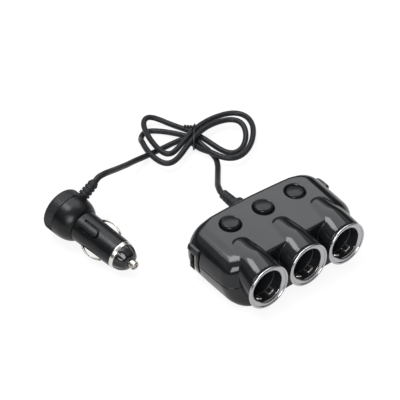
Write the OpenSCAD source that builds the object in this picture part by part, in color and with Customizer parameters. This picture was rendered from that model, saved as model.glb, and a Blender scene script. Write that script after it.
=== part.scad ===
// Car power socket splitter: a black hub with three round sockets in front, a push
// button on the deck above each socket, a charging port on each side, and a tied
// lead that ends in a fused plug with a sprung tip. X runs along the row of sockets,
// Y to the rear, Z up. The origin is on the table below the middle of the hub.

/* [Hub] */
// Gap between neighbouring trim rings
ring_gap = 1.8; // [1.6:0.1:3]
// Distance from an outer socket's axis to the side wall
side_room = 22.7; // [22.2:0.1:24.2]
// Distance from the back of the sockets to the rear wall
rear_room = 22.92; // [22.4:0.02:24.4]
// Height of the deck at the buttons above the middle of a socket's mouth
deck_rise = 15.9; // [15.5:0.1:17]
// Wall thickness of the shells
wall = 2; // [1.8:0.1:2.2]
// Downward slope of the deck towards the sockets, in degrees
deck_slope = 2; // [1:0.5:3]

/* [Sockets] */
// Radius of the socket bore behind its lead-in
bore_r = 10.7; // [10.6:0.05:10.8]
// How far a trim ring reaches outside the bore
ring_w = 4.3; // [4.1:0.1:4.4]
// Height of the trim rings above the table
ring_lift = 3; // [2.5:0.1:3.5]
// Upward tilt of the sockets, in degrees
tilt = 5; // [4:0.5:6]
// Depth of a socket from the front of its ring
bore_len = 38; // [36:0.5:38]

/* [Buttons] */
// Distance from the middle button to each outer one
button_pitch = 26.4; // [25.5:0.1:27]
// Radius of a button cap
button_r = 6.2; // [5.8:0.1:6.3]
// Travel of a button
button_travel = 3; // [2.4:0.1:3]
// How far the latched button stays down
latch_drop = 1.8; // [1:0.1:2]

/* [Plug] */
// Rise of the plug towards its cap, in degrees
plug_rise = 6.5; // [6.3:0.1:6.7]
// Heading of the plug from its tip to its cap, in degrees
plug_heading = 101.6; // [95:0.1:110]
// Radius of the plug's wide cap
cap_r = 15.5; // [15.3:0.1:15.5]
// Travel of the sprung tip
tip_travel = 2.5; // [1.5:0.1:2.5]
// Travel of a side spring
side_travel = 1.5; // [1:0.1:1.5]

/* [Lead] */
// Diameter of the lead
lead_d = 4; // [3.9:0.05:4]
// Extra height of the wound lead where the tie wire passes below it
tie_lift = 1.7; // [1.7:0.05:2]

/* [Hidden] */

// Overrun of a cut, clearance of a loose fit and of a close one
over = 1;
gap = 0.05;
close_gap = 0.02;

skin_fn = 32;
small_fn = 24;
round_fn = 36;
big_fn = 48;
fine_fn = 96;
rim_fn = 16;
black = [0.09, 0.09, 0.1];
dark = [0.14, 0.14, 0.15];
gloss = [0.05, 0.05, 0.06];
chrome = [0.78, 0.79, 0.8];
nickel = [0.7, 0.69, 0.66];
board_green = [0.1, 0.28, 0.17];
tongue_brown = [0.3, 0.16, 0.13];
fuse_white = [0.75, 0.78, 0.78];

// A socket: bore, liner, the shell's tube round it and the trim ring over its end
liner_wall = 1.25;
liner_r = bore_r + liner_wall;
tube_wall = 1.05;
tube_r = liner_r + tube_wall;
liner_back = 2;
liner_end = bore_len + liner_back;
ring_r = bore_r + ring_w;
lead_in = 0.3;
lead_in_r = bore_r + lead_in;
lead_in_to = 9;
ring_t = 1.8;
rim_r = 0.85;
pitch = 2 * ring_r + ring_gap;
mouth_z = ring_r + ring_lift;

// The ring's centre lies behind its foremost point, because the ring is tilted
mouth_back = (ring_r - rim_r) * sin(tilt) + rim_r * (1 - cos(tilt));
hub_d = mouth_back + liner_end * cos(tilt) + rear_room;
rear_y = hub_d / 2;
mouth_y = mouth_back - rear_y;
half_w = pitch + side_room;
hub_w = 2 * half_w;

// Heights of the hub: its foot, the line where the shells meet, its shoulder and deck
seam_drop = 2;
part_z = mouth_z - seam_drop;
foot_z = 3.5;
shoulder_rise = 10;
shoulder_z = part_z + shoulder_rise;
room_drop = 1.5;
deck_z = mouth_z + deck_rise;

// Behind the sockets: the board, and what stands on it
board_gap = 1.88;
board_y = mouth_y + liner_end * cos(tilt) + liner_r * sin(tilt) + board_gap;
button_in = 3.2;
deck_y = board_y + button_in;
port_in = 5.2;
usb_y = board_y + port_in;

// Levels of the hub's skin as shares: half widths at the rear and at the front of the
// hub's half width, rear and front edges of its half depth, and the corner radii at
// the rear and at the front of its half width
base_shares = [0.872, 0.844, 0.828, 0.775, 0.183, 0.229];
foot_shares = [0.936, 0.917, 0.931, 0.731, 0.22, 0.22];
seam_shares = [1, 0.972, 1, 0.581, 0.22, 0.183];
shoulder_shares = [0.972, 0.945, 0.975, 0.541, 0.22, 0.165];
deck_shares = [0.835, 0.811, 0.906, 0.5375, 0.147, 0.22];
low_room_shares = [0.908, 0.883, 0.875, 0.75, 0.202, 0.22];
high_room_shares = [0.969, 0.941, 0.975, 0.541, 0.22, 0.165];
slab = 0.02;

// The rear wall is bowed: how far a point at a share of the half width lies forward
rear_bow = 1.5;
bow_shares = [-1, -0.6, 0, 0.6, 1];
function bow(share) = rear_bow * share * share;

// One level of the skin as a thin plate with round corners, moved in by a margin
module level(shares, margin) {
  rear_r = shares[4] * half_w;
  front_r = shares[5] * half_w;
  for (t = bow_shares)
    translate([t * (shares[0] * half_w - margin - rear_r),
      shares[2] * rear_y - margin - rear_r - bow(t), 0])
      cylinder(r = rear_r, h = slab, $fn = skin_fn);
  for (s = [-1, 1])
    translate([s * (shares[1] * half_w - margin - front_r),
      margin + front_r - shares[3] * rear_y, 0])
      cylinder(r = front_r, h = slab, $fn = skin_fn);
}

// The deck's outline, laid on its slope
module deck_level(margin, drop) {
  translate([0, deck_y, deck_z - drop])
    rotate([deck_slope, 0, 0])
      translate([0, -deck_y, -slab])
        level(deck_shares, margin);
}

module upper_skin() {
  hull() {
    translate([0, 0, part_z]) level(seam_shares, 0);
    translate([0, 0, shoulder_z]) level(shoulder_shares, 0);
    deck_level(0, 0);
  }
}

module upper_room() {
  hull() {
    translate([0, 0, part_z - gap]) level(seam_shares, wall);
    translate([0, 0, shoulder_z - room_drop]) level(high_room_shares, wall);
    deck_level(wall, wall);
  }
}

module lower_skin() {
  hull() {
    level(base_shares, 0);
    translate([0, 0, foot_z]) level(foot_shares, 0);
    translate([0, 0, part_z - slab]) level(seam_shares, 0);
  }
}

module lower_room() {
  hull() {
    translate([0, 0, wall]) level(low_room_shares, wall);
    translate([0, 0, part_z + gap]) level(seam_shares, wall);
  }
}

// Frame of socket number i (-1, 0 or 1): Z out of the mouth, Y up
module at_socket(i) {
  translate([i * pitch, mouth_y, mouth_z])
    rotate([90 - tilt, 0, 0])
      children();
}

// A round bar along a socket's axis, from one depth to another
module socket_bar(r, from, to) {
  translate([0, 0, -to]) cylinder(r = r, h = to - from, $fn = big_fn);
}

// The room that a socket's liner takes in the shells
module liner_room() {
  for (i = [-1 : 1])
    at_socket(i) socket_bar(liner_r + gap, 0, liner_end + over);
}

// The rounded hump that runs from a ring up to the deck
hump_front_to = 5;
hump_top_from = 18;
hump_top_to = 25;
hump_end_from = 32;
hump_end_to = 33;
hump_inset = 1;
hump_r = tube_r - hump_inset;
hump_rise = 6.5;
hump_end_rise = 5.4;
module hump(i) {
  at_socket(i)
    hull() {
      socket_bar(tube_r, ring_t, hump_front_to);
      translate([0, hump_rise, 0]) socket_bar(hump_r, hump_top_from, hump_top_to);
      translate([0, hump_end_rise, 0]) socket_bar(hump_r, hump_end_from, hump_end_to);
    }
}

// Side ports: a bezel in the wall, and the port's shell through it
bezel_w = 11.5;
bezel_h = 14.4;
bezel_t = 3.9;
bezel_inset = 0.2;
bezel_out = half_w - bezel_inset;
bezel_in = bezel_out - bezel_t;
bezel_drop = 0.1;
bezel_z = part_z - bezel_drop;
port_w = 5.7;
port_h = 13.1;
port_t = 0.3;
port_len = 13.4;
port_inset = 0.1;
port_to = half_w - port_inset;
port_from = port_to - port_len;

// A block on side s (-1 left, 1 right), from one distance to another from the middle
module side_block(s, from, to, w, h, z) {
  translate([s * (from + to) / 2 - (to - from) / 2, usb_y - w / 2, z - h / 2])
    cube([to - from, w, h]);
}

module port_room(s) {
  side_block(s, bezel_in, half_w + bezel_t, bezel_w, bezel_h, bezel_z);
  side_block(s, port_from, half_w, port_w + 2 * close_gap, port_h + 2 * close_gap, part_z);
}

// Strain relief of the hub, in a hole of the rear wall
boot_out = 25;
boot_end = rear_y + boot_out;
neck_r = 4.6;
module neck_room() {
  translate([0, rear_y - wall - over - rear_bow, part_z])
    rotate([-90, 0, 0])
      cylinder(r = neck_r, h = wall + rear_bow + 2 * over, $fn = round_fn);
}

// Bosses, posts and the screws that join the shells
screw_shank_r = 1.3;
screw_gap = 0.2;
screw_head_r = 2.2;
screw_head_t = 1.6;
screw_sink = 2.4;
screw_bite = 7;
screw_fn = small_fn;
boss_r = 2.8;
boss_low = 1;
boss_skin = 1.5;
boss_rear_in = 6.5;
boss_side_in = 16.5;
boss_front_depth = 22.8;
boss_rear_y = rear_y - boss_rear_in;
screw_spots = [
  [-pitch / 2, mouth_y + boss_front_depth], [pitch / 2, mouth_y + boss_front_depth],
  [boss_side_in - half_w, boss_rear_y], [half_w - boss_side_in, boss_rear_y]];
post_r = 2.5;
post_x = 20;
post_in = 3;

// Heights from the deck down to the board, through a button and its switch
button_gap = 0.3;
button_hole_r = button_r + button_gap;
dish_w = 1;
dish_t = 0.8;
cap_proud = 2.3;
flange_w = 1.2;
flange_r = button_r + flange_w;
flange_t = 1;
flange_gap = 0.35;
flange_top = deck_z - wall - flange_gap;
switch_gap = 0.25;
switch_top = flange_top - flange_t - button_travel - switch_gap;
stem_r = 1.8;
stem_in = 2;
stem_low = switch_top - stem_in;
stem_gap = 0.2;
switch_floor_t = 0.5;
switch_floor = stem_low - button_travel - stem_gap;
switch_low = switch_floor - switch_floor_t;
switch_w = 7;
switch_shift = 0.5;
dome_r = 26;
dome_fn = 72;
board_t = 1.6;
board_z = switch_low - board_t;
board_side_gap = 1.4;
board_half = port_from - board_side_gap;
board_boss_gap = 0.3;
board_back = boss_rear_y - boss_r - board_boss_gap;

module top_shell() {
  color(black)
    difference() {
      union() {
        difference() {
          union() {
            upper_skin();
            for (i = [-1 : 1]) hump(i);
          }
          upper_room();
        }
        for (p = screw_spots)
          translate([p[0], p[1], part_z])
            cylinder(r = boss_r, h = deck_z - part_z - boss_skin, $fn = skin_fn);
      }
      translate([-hub_w, -hub_d, part_z - hub_d]) cube([2 * hub_w, 2 * hub_d, hub_d]);
      liner_room();
      for (i = [-1 : 1])
        translate([i * button_pitch, deck_y, 0]) {
          translate([0, 0, deck_z - 2 * wall])
            cylinder(r = button_hole_r, h = 4 * wall, $fn = round_fn);
          translate([0, 0, deck_z - dish_t])
            cylinder(r1 = button_hole_r, r2 = button_hole_r + 2 * dish_w, h = 2 * dish_t,
              $fn = round_fn);
        }
      for (s = [-1, 1]) port_room(s);
      neck_room();
      for (p = screw_spots)
        translate([p[0], p[1], part_z - over])
          cylinder(r = screw_shank_r, h = screw_bite + 2 * over, $fn = screw_fn);
    }
}

tube_back = 24;
module bottom_shell() {
  color(black)
    difference() {
      union() {
        difference() {
          union() {
            lower_skin();
            intersection() {
              for (i = [-1 : 1]) at_socket(i) socket_bar(tube_r, ring_t, tube_back);
              translate([-hub_w, -hub_d, 0]) cube([2 * hub_w, 2 * hub_d, part_z]);
            }
          }
          lower_room();
        }
        for (p = screw_spots)
          translate([p[0], p[1], boss_low])
            cylinder(r = boss_r, h = part_z - boss_low, $fn = skin_fn);
        for (s = [-1, 1])
          translate([s * post_x, board_back - post_in, boss_low])
            cylinder(r = post_r, h = board_z - boss_low, $fn = skin_fn);
      }
      liner_room();
      for (s = [-1, 1]) port_room(s);
      neck_room();
      for (p = screw_spots)
        translate([p[0], p[1], -over]) {
          cylinder(r = screw_shank_r + screw_gap, h = part_z + 2 * over, $fn = screw_fn);
          cylinder(r = screw_head_r + gap, h = screw_sink + screw_head_t + over,
            $fn = screw_fn);
        }
    }
}

// Contacts of a socket: two side pads near the mouth, each with a strap behind it,
// and a button in the middle of the floor
contact_w = 5;
contact_from = 4;
contact_to = 8.2;
contact_angle = 28;
pad_in = 0.1;
strap_in = 0.6;
strap_w = 3;
strap_end = liner_end - 3 * over;

// A radial bar that a pad or strap is cut from
module contact_bar(w, from, to) {
  translate([-w / 2, -tube_r, -to]) cube([w, tube_r - bore_r / 2, to - from]);
}

module contact_pads(grow) {
  for (s = [-1, 1])
    rotate([0, 0, s * contact_angle])
      intersection() {
        difference() {
          socket_bar(liner_r, contact_from - over, strap_end);
          socket_bar(bore_r + pad_in, contact_from - 2 * over, contact_to);
          socket_bar(bore_r + strap_in, contact_to - over, liner_end);
        }
        union() {
          contact_bar(contact_w + 2 * grow, contact_from - grow, contact_to);
          contact_bar(strap_w + 2 * grow, contact_to - over, strap_end);
        }
      }
}

button_contact_r = 3.2;
button_contact_t = 1;
tail_r = 1.5;
tail_out = 1.5;
module socket_liner(i) {
  color(dark)
    at_socket(i)
      difference() {
        socket_bar(liner_r, ring_t, liner_end);
        socket_bar(bore_r, 0, bore_len);
        socket_bar(lead_in_r, 0, lead_in_to);
        socket_bar(button_contact_r + gap, bore_len - over, bore_len + button_contact_t);
        socket_bar(tail_r + gap, bore_len, liner_end + over);
        contact_pads(close_gap);
      }
}
module socket_liner_left() { socket_liner(-1); }
module socket_liner_middle() { socket_liner(0); }
module socket_liner_right() { socket_liner(1); }

module side_contacts(i) { color(nickel) at_socket(i) contact_pads(0); }
module side_contacts_left() { side_contacts(-1); }
module side_contacts_middle() { side_contacts(0); }
module side_contacts_right() { side_contacts(1); }

// A trim ring: a flat band with a bead outside and a low lip inside
rim_drop = 0.3;
lip_w = 0.7;
lip_drop = 0.05;
bead_w = 1;
bead_over = 0.6;
module trim_ring(i) {
  color(chrome)
    at_socket(i)
      rotate_extrude($fn = big_fn) {
        translate([lead_in_r, -ring_t])
          square([ring_w - lead_in - rim_r, ring_t - rim_drop]);
        translate([lead_in_r, -ring_t / 2]) square([lip_w, ring_t / 2 - lip_drop]);
        translate([ring_r - rim_r, -rim_r]) circle(r = rim_r, $fn = rim_fn);
        translate([ring_r - rim_r - bead_w, -ring_t])
          square([rim_r + bead_over, ring_t - rim_r]);
      }
}
module trim_ring_left() { trim_ring(-1); }
module trim_ring_middle() { trim_ring(0); }
module trim_ring_right() { trim_ring(1); }

module center_contact(i) {
  color(nickel)
    at_socket(i) {
      socket_bar(button_contact_r, bore_len, bore_len + button_contact_t);
      socket_bar(tail_r, bore_len, liner_end + tail_out);
    }
}
module center_contact_left() { center_contact(-1); }
module center_contact_middle() { center_contact(0); }
module center_contact_right() { center_contact(1); }

// A button: a domed cap, a flange under the deck and a stem that enters its switch
module button(i, drop) {
  top = deck_z + cap_proud;
  color(dark)
    translate([i * button_pitch, deck_y, -drop]) {
      intersection() {
        translate([0, 0, flange_top])
          cylinder(r = button_r, h = top - flange_top, $fn = round_fn);
        translate([0, 0, top - dome_r]) sphere(r = dome_r, $fn = dome_fn);
      }
      translate([0, 0, flange_top - flange_t])
        cylinder(r = flange_r, h = flange_t, $fn = round_fn);
      translate([0, 0, stem_low])
        cylinder(r = stem_r, h = flange_top - stem_low, $fn = small_fn);
    }
}
module button_left() { button(-1, 0); }
module button_middle() { button(0, 0); }
module button_right() { button(1, latch_drop); }

module switch(i) {
  color(dark)
    translate([i * button_pitch, deck_y, 0])
      difference() {
        translate([-switch_w / 2, switch_shift - switch_w / 2, switch_low])
          cube([switch_w, switch_w, switch_top - switch_low]);
        translate([0, 0, switch_floor])
          cylinder(r = stem_r + gap, h = switch_top - switch_floor + over, $fn = small_fn);
      }
}
module switch_left() { switch(-1); }
module switch_middle() { switch(0); }
module switch_right() { switch(1); }

// The small hood above a side port: rounded outside, and its root in the wall
hood_in = 1.3;
hood_out = 0.5;
hood_r = 1.4;
hood_half = 4.2;
hood_rise = 8.2;
hood_z = part_z + hood_rise;
hood_up = 1.2;
hood_root = 2.5;
hood_shift = 0.3;
hood_seat = 0.2;
module usb_bezel(s) {
  color(black)
    difference() {
      union() {
        side_block(s, bezel_in, bezel_out, bezel_w - 2 * close_gap, bezel_h - 2 * close_gap,
          bezel_z);
        translate([s * (half_w - hood_in), usb_y + hood_shift, 0])
          intersection() {
            hull() {
              for (y = [-hood_half, hood_half])
                for (z = [hood_z, hood_z + hood_up])
                  translate([s * hood_out, y, z]) sphere(r = hood_r, $fn = small_fn);
              translate([-s * hood_r - over, -hood_half - over, hood_z - hood_r])
                cube([2 * over, 2 * (hood_half + over), hood_root + hood_up + over]);
            }
            translate([-bezel_t, -bezel_w / 2, bezel_z + bezel_h / 2 - hood_seat])
              cube([2 * bezel_t, bezel_w, bezel_h / 2]);
          }
      }
      side_block(s, bezel_in - over, half_w + bezel_t, port_w + 2 * close_gap,
        port_h + 2 * close_gap, part_z);
      intersection() {
        upper_skin();
        translate([-hub_w, 0, bezel_z + bezel_h / 2]) cube([2 * hub_w, hub_d, hub_d]);
      }
    }
}
module usb_bezel_left() { usb_bezel(-1); }
module usb_bezel_right() { usb_bezel(1); }

port_floor = 0.7;
module usb_shell(s) {
  color(chrome)
    difference() {
      side_block(s, port_from, port_to, port_w, port_h, part_z);
      side_block(s, port_from + port_floor, port_to + over, port_w - 2 * port_t,
        port_h - 2 * port_t, part_z);
    }
}
module usb_shell_left() { usb_shell(-1); }
module usb_shell_right() { usb_shell(1); }

tongue_t = 1.9;
tongue_w = 11;
tongue_len = 9.5;
tongue_root = 2;
module usb_tongue(s) {
  back = port_from + port_floor;
  root = back + tongue_root;
  color(tongue_brown) {
    side_block(s, back, root, port_w - 2 * port_t, port_h - 2 * port_t, part_z);
    side_block(s, root - port_floor, root + tongue_len - over, tongue_t, tongue_w, part_z);
  }
}
module usb_tongue_left() { usb_tongue(-1); }
module usb_tongue_right() { usb_tongue(1); }

module circuit_board() {
  color(board_green)
    translate([-board_half, board_y, board_z])
      cube([2 * board_half, board_back - board_y, board_t]);
}

module shell_screws() {
  color(nickel)
    for (p = screw_spots)
      translate([p[0], p[1], screw_sink]) {
        cylinder(r = screw_head_r, h = screw_head_t, $fn = screw_fn);
        cylinder(r = screw_shank_r - gap, h = part_z + screw_bite - screw_sink,
          $fn = screw_fn);
      }
}

// The hub's strain relief: a flange inside the wall, a collar and a ribbed sleeve
boot_flange_r = 5.8;
boot_flange_t = 1.5;
boot_flange_in = 5.4;
collar_r = 6.3;
collar_edge = 0.6;
collar_from = 0.1;
collar_to = 11;
sleeve_r = 3;
rib_r = 3.8;
rib_w = 2;
rib_from = 0.8;
rib_step = 3.3;
rib_taper = 0.1;
module hub_cord_boot() {
  color(dark)
    translate([0, rear_y, part_z])
      rotate([-90, 0, 0])
        rotate_extrude($fn = big_fn) {
          translate([0, -boot_flange_in]) square([boot_flange_r, boot_flange_t]);
          translate([0, -boot_flange_in]) square([neck_r - gap, boot_flange_in + over]);
          translate([0, collar_from]) square([collar_r - collar_edge, collar_to - collar_from]);
          translate([0, collar_from + collar_edge])
            square([collar_r, collar_to - collar_from - 2 * collar_edge]);
          translate([0, collar_to]) square([sleeve_r, boot_out - collar_to]);
          for (n = [0 : 3])
            translate([0, collar_to + rib_from + n * rib_step])
              square([rib_r - n * rib_taper, rib_w]);
        }
}

// Lead: a round tube through a list of points, with a flat ring at each end
steep = 0.9;
function unit(v) = v / norm(v);
function tangent(p, n) =
  n == 0 ? unit(p[1] - p[0]) :
  n == len(p) - 1 ? unit(p[n] - p[n - 1]) : unit(p[n + 1] - p[n - 1]);
function side(t) = unit(cross(abs(t[2]) > steep ? [1, 0, 0] : [0, 0, 1], t));
function ring_at(c, t, r, sides) =
  let (a = side(t), b = cross(t, a))
  [for (k = [0 : sides - 1])
    let (turn = (k + 0.5) * 360 / sides) c + r * (cos(turn) * a + sin(turn) * b)];
module tube(p, r, sides) {
  count = len(p);
  points = [for (n = [0 : count - 1]) each ring_at(p[n], tangent(p, n), r, sides)];
  walls = [for (n = [0 : count - 2]) for (k = [0 : sides - 1])
    let (a = n * sides + k, b = n * sides + (k + 1) % sides)
    each [[a, b, b + sides], [a, b + sides, a + sides]]];
  caps = concat([for (k = [1 : sides - 2]) [0, k + 1, k]],
    [for (k = [1 : sides - 2]) let (z = (count - 1) * sides) [z, z + k, z + k + 1]]);
  polyhedron(points = points, faces = [for (f = concat(walls, caps)) [f[0], f[2], f[1]]]);
}

// A smooth curve through hand-chosen points, with a number of steps in each span
function spline(a, b, c, d, t) =
  0.5 * (2 * b + (c - a) * t + (2 * a - 5 * b + 4 * c - d) * t * t
    + (3 * b - a - 3 * c + d) * t * t * t);
function smooth(p, steps) = concat(
  [for (n = [0 : len(p) - 2]) for (k = [0 : steps - 1])
    spline(p[max(n - 1, 0)], p[n], p[n + 1], p[min(n + 2, len(p) - 1)], k / steps)],
  [p[len(p) - 1]]);
function smooth_loop(p, steps) =
  let (count = len(p))
  [for (n = [0 : count - 1]) for (k = [0 : steps - 1])
    spline(p[(n + count - 1) % count], p[n], p[(n + 1) % count], p[(n + 2) % count],
      k / steps)];

// The wound lead: four loops in turn, left, right, left and right of the tie.
// Each list has one value a loop, or one value a pass through the tie.
lead_r = lead_d / 2;
tie_at = [30, 130.5];
reach = [39, 35.5, 33.5, 46];
spread = [48, 34.5, 45.5, 51.5];
lean = [1, -4.5, 16, -7];
aim = [168, 139, 164, 140];
pass_at = [[0, 0], [0.7, -2.3], [4.6, 0.8], [-0.7, 2.3], [-4.6, -0.8]];
low_z = 2.1;
high_z = 6.7;
pass_z = [low_z, high_z, low_z, high_z, low_z];
turn_start = [0.36, 0.3, 0.12, 0.86];
turn_end = [0.46, 0.62, 0.36, 0.97];
lift_share = 0.2;
loop_rings = 24;
loops = 4;
function ease(t) = let (c = min(max(t, 0), 1)) c * c * (3 - 2 * c);
function between(list, u) =
  let (t = u - 0.5, n = min(max(floor(t), 0), loops - 2))
  list[n] + (list[n + 1] - list[n]) * ease(t - n);
function wound(u) =
  let (
    n = min(floor(u), loops - 1),
    f = u - n,
    out = sin(180 * u),
    offset = pass_at[n] + (pass_at[n + 1] - pass_at[n]) * ease(f),
    heading = between(aim, u),
    along = between(reach, u) * out,
    across = between(spread, u) / 2 * sin(360 * u) + between(lean, u) * out * abs(out),
    climb = ease((f - turn_start[n]) / (turn_end[n] - turn_start[n])),
    lift = tie_lift * (1 - ease(abs(u - round(u)) / lift_share)))
  [tie_at[0] + offset[0] + cos(heading) * along + sin(heading) * across,
   tie_at[1] + offset[1] + sin(heading) * along - cos(heading) * across,
   pass_z[n] + (pass_z[n + 1] - pass_z[n]) * climb + lift];
bundle_path = [for (n = [0 : loops * loop_rings]) wound(n / loop_rings)];

// The least gap of the wound lead to itself, between points well apart along it
fine_steps = 400;
fine = [for (n = [0 : fine_steps]) wound(n * loops / fine_steps)];
skip = 11;
nearest = min([for (a = [0 : fine_steps - skip]) for (b = [a + skip : fine_steps])
  norm(fine[a] - fine[b])]);
echo(least_gap_of_the_wound_lead_to_itself_mm = nearest - lead_d);

// Plug: places along it are measured from its collar, towards the cap
barrel_len = 34;
head_len = 13;
cap_len = 8.8;
seam_gap = 0.2;
head_to = barrel_len + head_len;
seam_s = head_to + seam_gap;
cap_to = seam_s + cap_len;
collar_len = 2;
nose_len = 8;
nose_s = -collar_len - nose_len;
tip_out = 4.5;
tip_s = nose_s - tip_out;
nose_r = 9.2;
barrel_r = 10.9;
boot_in = 1.4;
boot_axis_s = seam_s + boot_in;
boot_angle = 29;
boot_len = 28;

// Where the plug lies, and where its strain relief ends
plug_at = [-84.3, 54.7, 9.8];
function turn_y(v, a) = [v[0] * cos(a) + v[2] * sin(a), v[1], -v[0] * sin(a) + v[2] * cos(a)];
function turn_z(v, a) = [v[0] * cos(a) - v[1] * sin(a), v[0] * sin(a) + v[1] * cos(a), v[2]];
function plug_point(v) = plug_at + turn_z(turn_y(v, -plug_rise), plug_heading);
boot_tip = plug_point([boot_axis_s, -boot_len * cos(boot_angle), boot_len * sin(boot_angle)]);

// The routes of the free stretches
hub_route = [[0, boot_end, part_z], [0.2, 60, 15.8], [2.2, 64.2, 14.8], [5, 69, 12.8],
  [9.8, 75.4, 9.6], [15.9, 83.3, 6], [21.5, 90.5, 3.4], [26, 96.6, 2.3], [29.6, 103.5, 2.1],
  [31, 112, 2.1], [31, 120, 2.3], [30.4, 126.5, 3.5], wound(0)];
plug_route = [wound(loops), [24.2, 133.8, 3.5], [21.4, 136, 2.7], [16, 136.8, 2.2],
  [7.5, 136.6, 2.1], [-1.5, 136.2, 2.2], [-12, 133.8, 4.4], [-23.2, 129.5, 8.6],
  [-33, 124.1, 13.4], [-40, 120, 17.4], [-47, 115.7, 21.6], [-54.1, 111.6, 25.8],
  [-60.5, 108.4, 29], [-66, 106.6, 30], boot_tip];
route_sides = 8;
bundle_sides = 6;

module cord_lead_hub() { color(black) tube(smooth(hub_route, 2), lead_r, route_sides); }
module cord_bundle() { color(black) tube(bundle_path, lead_r, bundle_sides); }
module cord_lead_plug() { color(black) tube(smooth(plug_route, 2), lead_r, route_sides); }

// The tie: a wire round the crossing, in an upright plane, and its twisted ends.
// Its route has the distance across the plane and the height of each point.
tie_r = 0.7;
tie_heading = 52;
tie_route = [[-7.2, 0.85], [-3.6, 0.85], [-0.1, 0.85], [3.4, 0.85], [7, 0.9], [9.7, 2.9],
  [10, 6.5], [9.2, 10], [5.9, 11.25], [2.3, 11.3], [-1.2, 11.3], [-4.7, 11.3],
  [-8.3, 10.75], [-11.1, 8.65], [-11.5, 5], [-10.6, 1.7]];
tie_top = 11.3;
tie_sides = 6;
function tie_point(q) =
  [tie_at[0] + q[0] * cos(tie_heading), tie_at[1] + q[0] * sin(tie_heading), q[1]];
tie_normal = [-sin(tie_heading), cos(tie_heading), 0];
module hoop(p, normal, r, sides) {
  count = len(p);
  points = [for (n = [0 : count - 1])
    let (t = unit(p[(n + 1) % count] - p[(n + count - 1) % count]), b = cross(t, normal))
    for (k = [0 : sides - 1])
      let (turn = (k + 0.5) * 360 / sides) p[n] + r * (cos(turn) * normal + sin(turn) * b)];
  walls = [for (n = [0 : count - 1]) for (k = [0 : sides - 1])
    let (a = n * sides + k, b = n * sides + (k + 1) % sides,
      c = (n + 1) % count * sides + k, d = (n + 1) % count * sides + (k + 1) % sides)
    each [[a, d, b], [a, c, d]]];
  polyhedron(points = points, faces = walls);
}
twist_r = 0.8;
twist_in = 3.5;
twist_down = 0.25;
twist_reach = [-7.4, 3.6, 1.6];
twist_turn = 700;
twist_steps = 12;
twist_side = unit([-twist_reach[1], twist_reach[0], 0]);
twist_up = cross(twist_side, unit(twist_reach));
function twist_point(t, phase) =
  let (a = phase + twist_turn * t)
  tie_point([twist_in, tie_top + tie_r - twist_down]) + t * twist_reach
    + twist_r * (cos(a) * twist_side + sin(a) * twist_up);
module cord_tie() {
  color(black)
    union() {
      hoop([for (q = smooth_loop(tie_route, 2)) tie_point(q)], tie_normal, tie_r, tie_sides);
      for (phase = [0, 180])
        tube([for (n = [0 : twist_steps]) twist_point(n / twist_steps, phase)], tie_r,
          tie_sides);
    }
}

// Frame of the plug: X runs from the collar to the cap, the tip points the other way
module at_plug() {
  translate(plug_at) rotate([0, -plug_rise, plug_heading]) children();
}
module plug_lathe() {
  at_plug() rotate([0, 90, 0]) rotate_extrude($fn = big_fn) children();
}

// An outline for the lathe from pairs of shares: along a length, and of a radius
module lathe_outline(shares, from, length, r) {
  polygon(concat([[0, from]],
    [for (p = shares) [p[1] * r, from + p[0] * length]],
    [[0, from + length]]));
}

nose_shares = [[0, 0.435], [0.125, 0.674], [0.375, 0.848], [0.675, 0.957], [1, 1]];
barrel_shares = [[0, 0.904], [0.235, 0.936], [0.5, 0.954], [0.765, 0.982], [1, 1]];
head_shares = [[0, 0.723], [0.062, 0.787], [0.2, 0.865], [0.385, 0.929], [0.615, 0.974], [1, 1]];

// The sprung tip and the fuse behind it
pin_r = 2.9;
pin_gap = 0.06;
pin_edge = 0.8;
pin_flange_r = 4.4;
pin_flange_t = 1.4;
pin_room_r = 4.6;
pin_room_s = -5;
pin_flange_gap = 0.1;
cross_w = 0.7;
cross_t = 0.6;
fuse_r = 3;
fuse_body_in = 0.25;
fuse_cap = 6;
fuse_from = 3;
fuse_len = 30;
fuse_gap = 0.3;
fuse_bore_r = fuse_r + fuse_gap;
seat_r = 8.2;
seat_len = 4;

module plug_nose() {
  color(gloss)
    plug_lathe()
      difference() {
        union() {
          lathe_outline(nose_shares, nose_s, nose_len, nose_r);
          translate([0, -collar_len]) square([seat_r, collar_len + seat_len]);
        }
        translate([0, nose_s - over]) square([pin_r + pin_gap, nose_len + over]);
        translate([0, pin_room_s]) square([pin_room_r, seat_len + over - pin_room_s]);
      }
}

collar_in_r = 8.9;
collar_side_r = 9.5;
collar_mid_r = 9.8;
collar_side = 0.4;
module plug_collar() {
  color(chrome)
    plug_lathe() {
      translate([collar_in_r, -collar_len]) square([collar_side_r - collar_in_r, collar_len]);
      translate([collar_in_r, collar_side - collar_len])
        square([collar_mid_r - collar_in_r, collar_len - 2 * collar_side]);
    }
}

module tip_pin() {
  color(nickel)
    at_plug()
      difference() {
        rotate([0, 90, 0])
          rotate_extrude($fn = big_fn) {
            translate([0, tip_s + pin_edge]) square([pin_r, fuse_from - tip_s - pin_edge]);
            translate([0, tip_s]) square([pin_r - pin_edge, 2 * pin_edge]);
            translate([pin_r - pin_edge, tip_s + pin_edge]) circle(r = pin_edge, $fn = rim_fn);
            translate([0, pin_room_s + pin_flange_gap]) square([pin_flange_r, pin_flange_t]);
          }
        for (a = [0, 90])
          rotate([a, 0, 0])
            translate([tip_s - over, -cross_w / 2, -pin_r - over])
              cube([cross_t + over, cross_w, 2 * (pin_r + over)]);
      }
}

module plug_fuse() {
  color(fuse_white)
    plug_lathe() {
      translate([0, fuse_from]) square([fuse_r - fuse_body_in, fuse_len]);
      for (s = [fuse_from, fuse_from + fuse_len - fuse_cap])
        translate([0, s]) square([fuse_r, fuse_cap]);
    }
}

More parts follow.
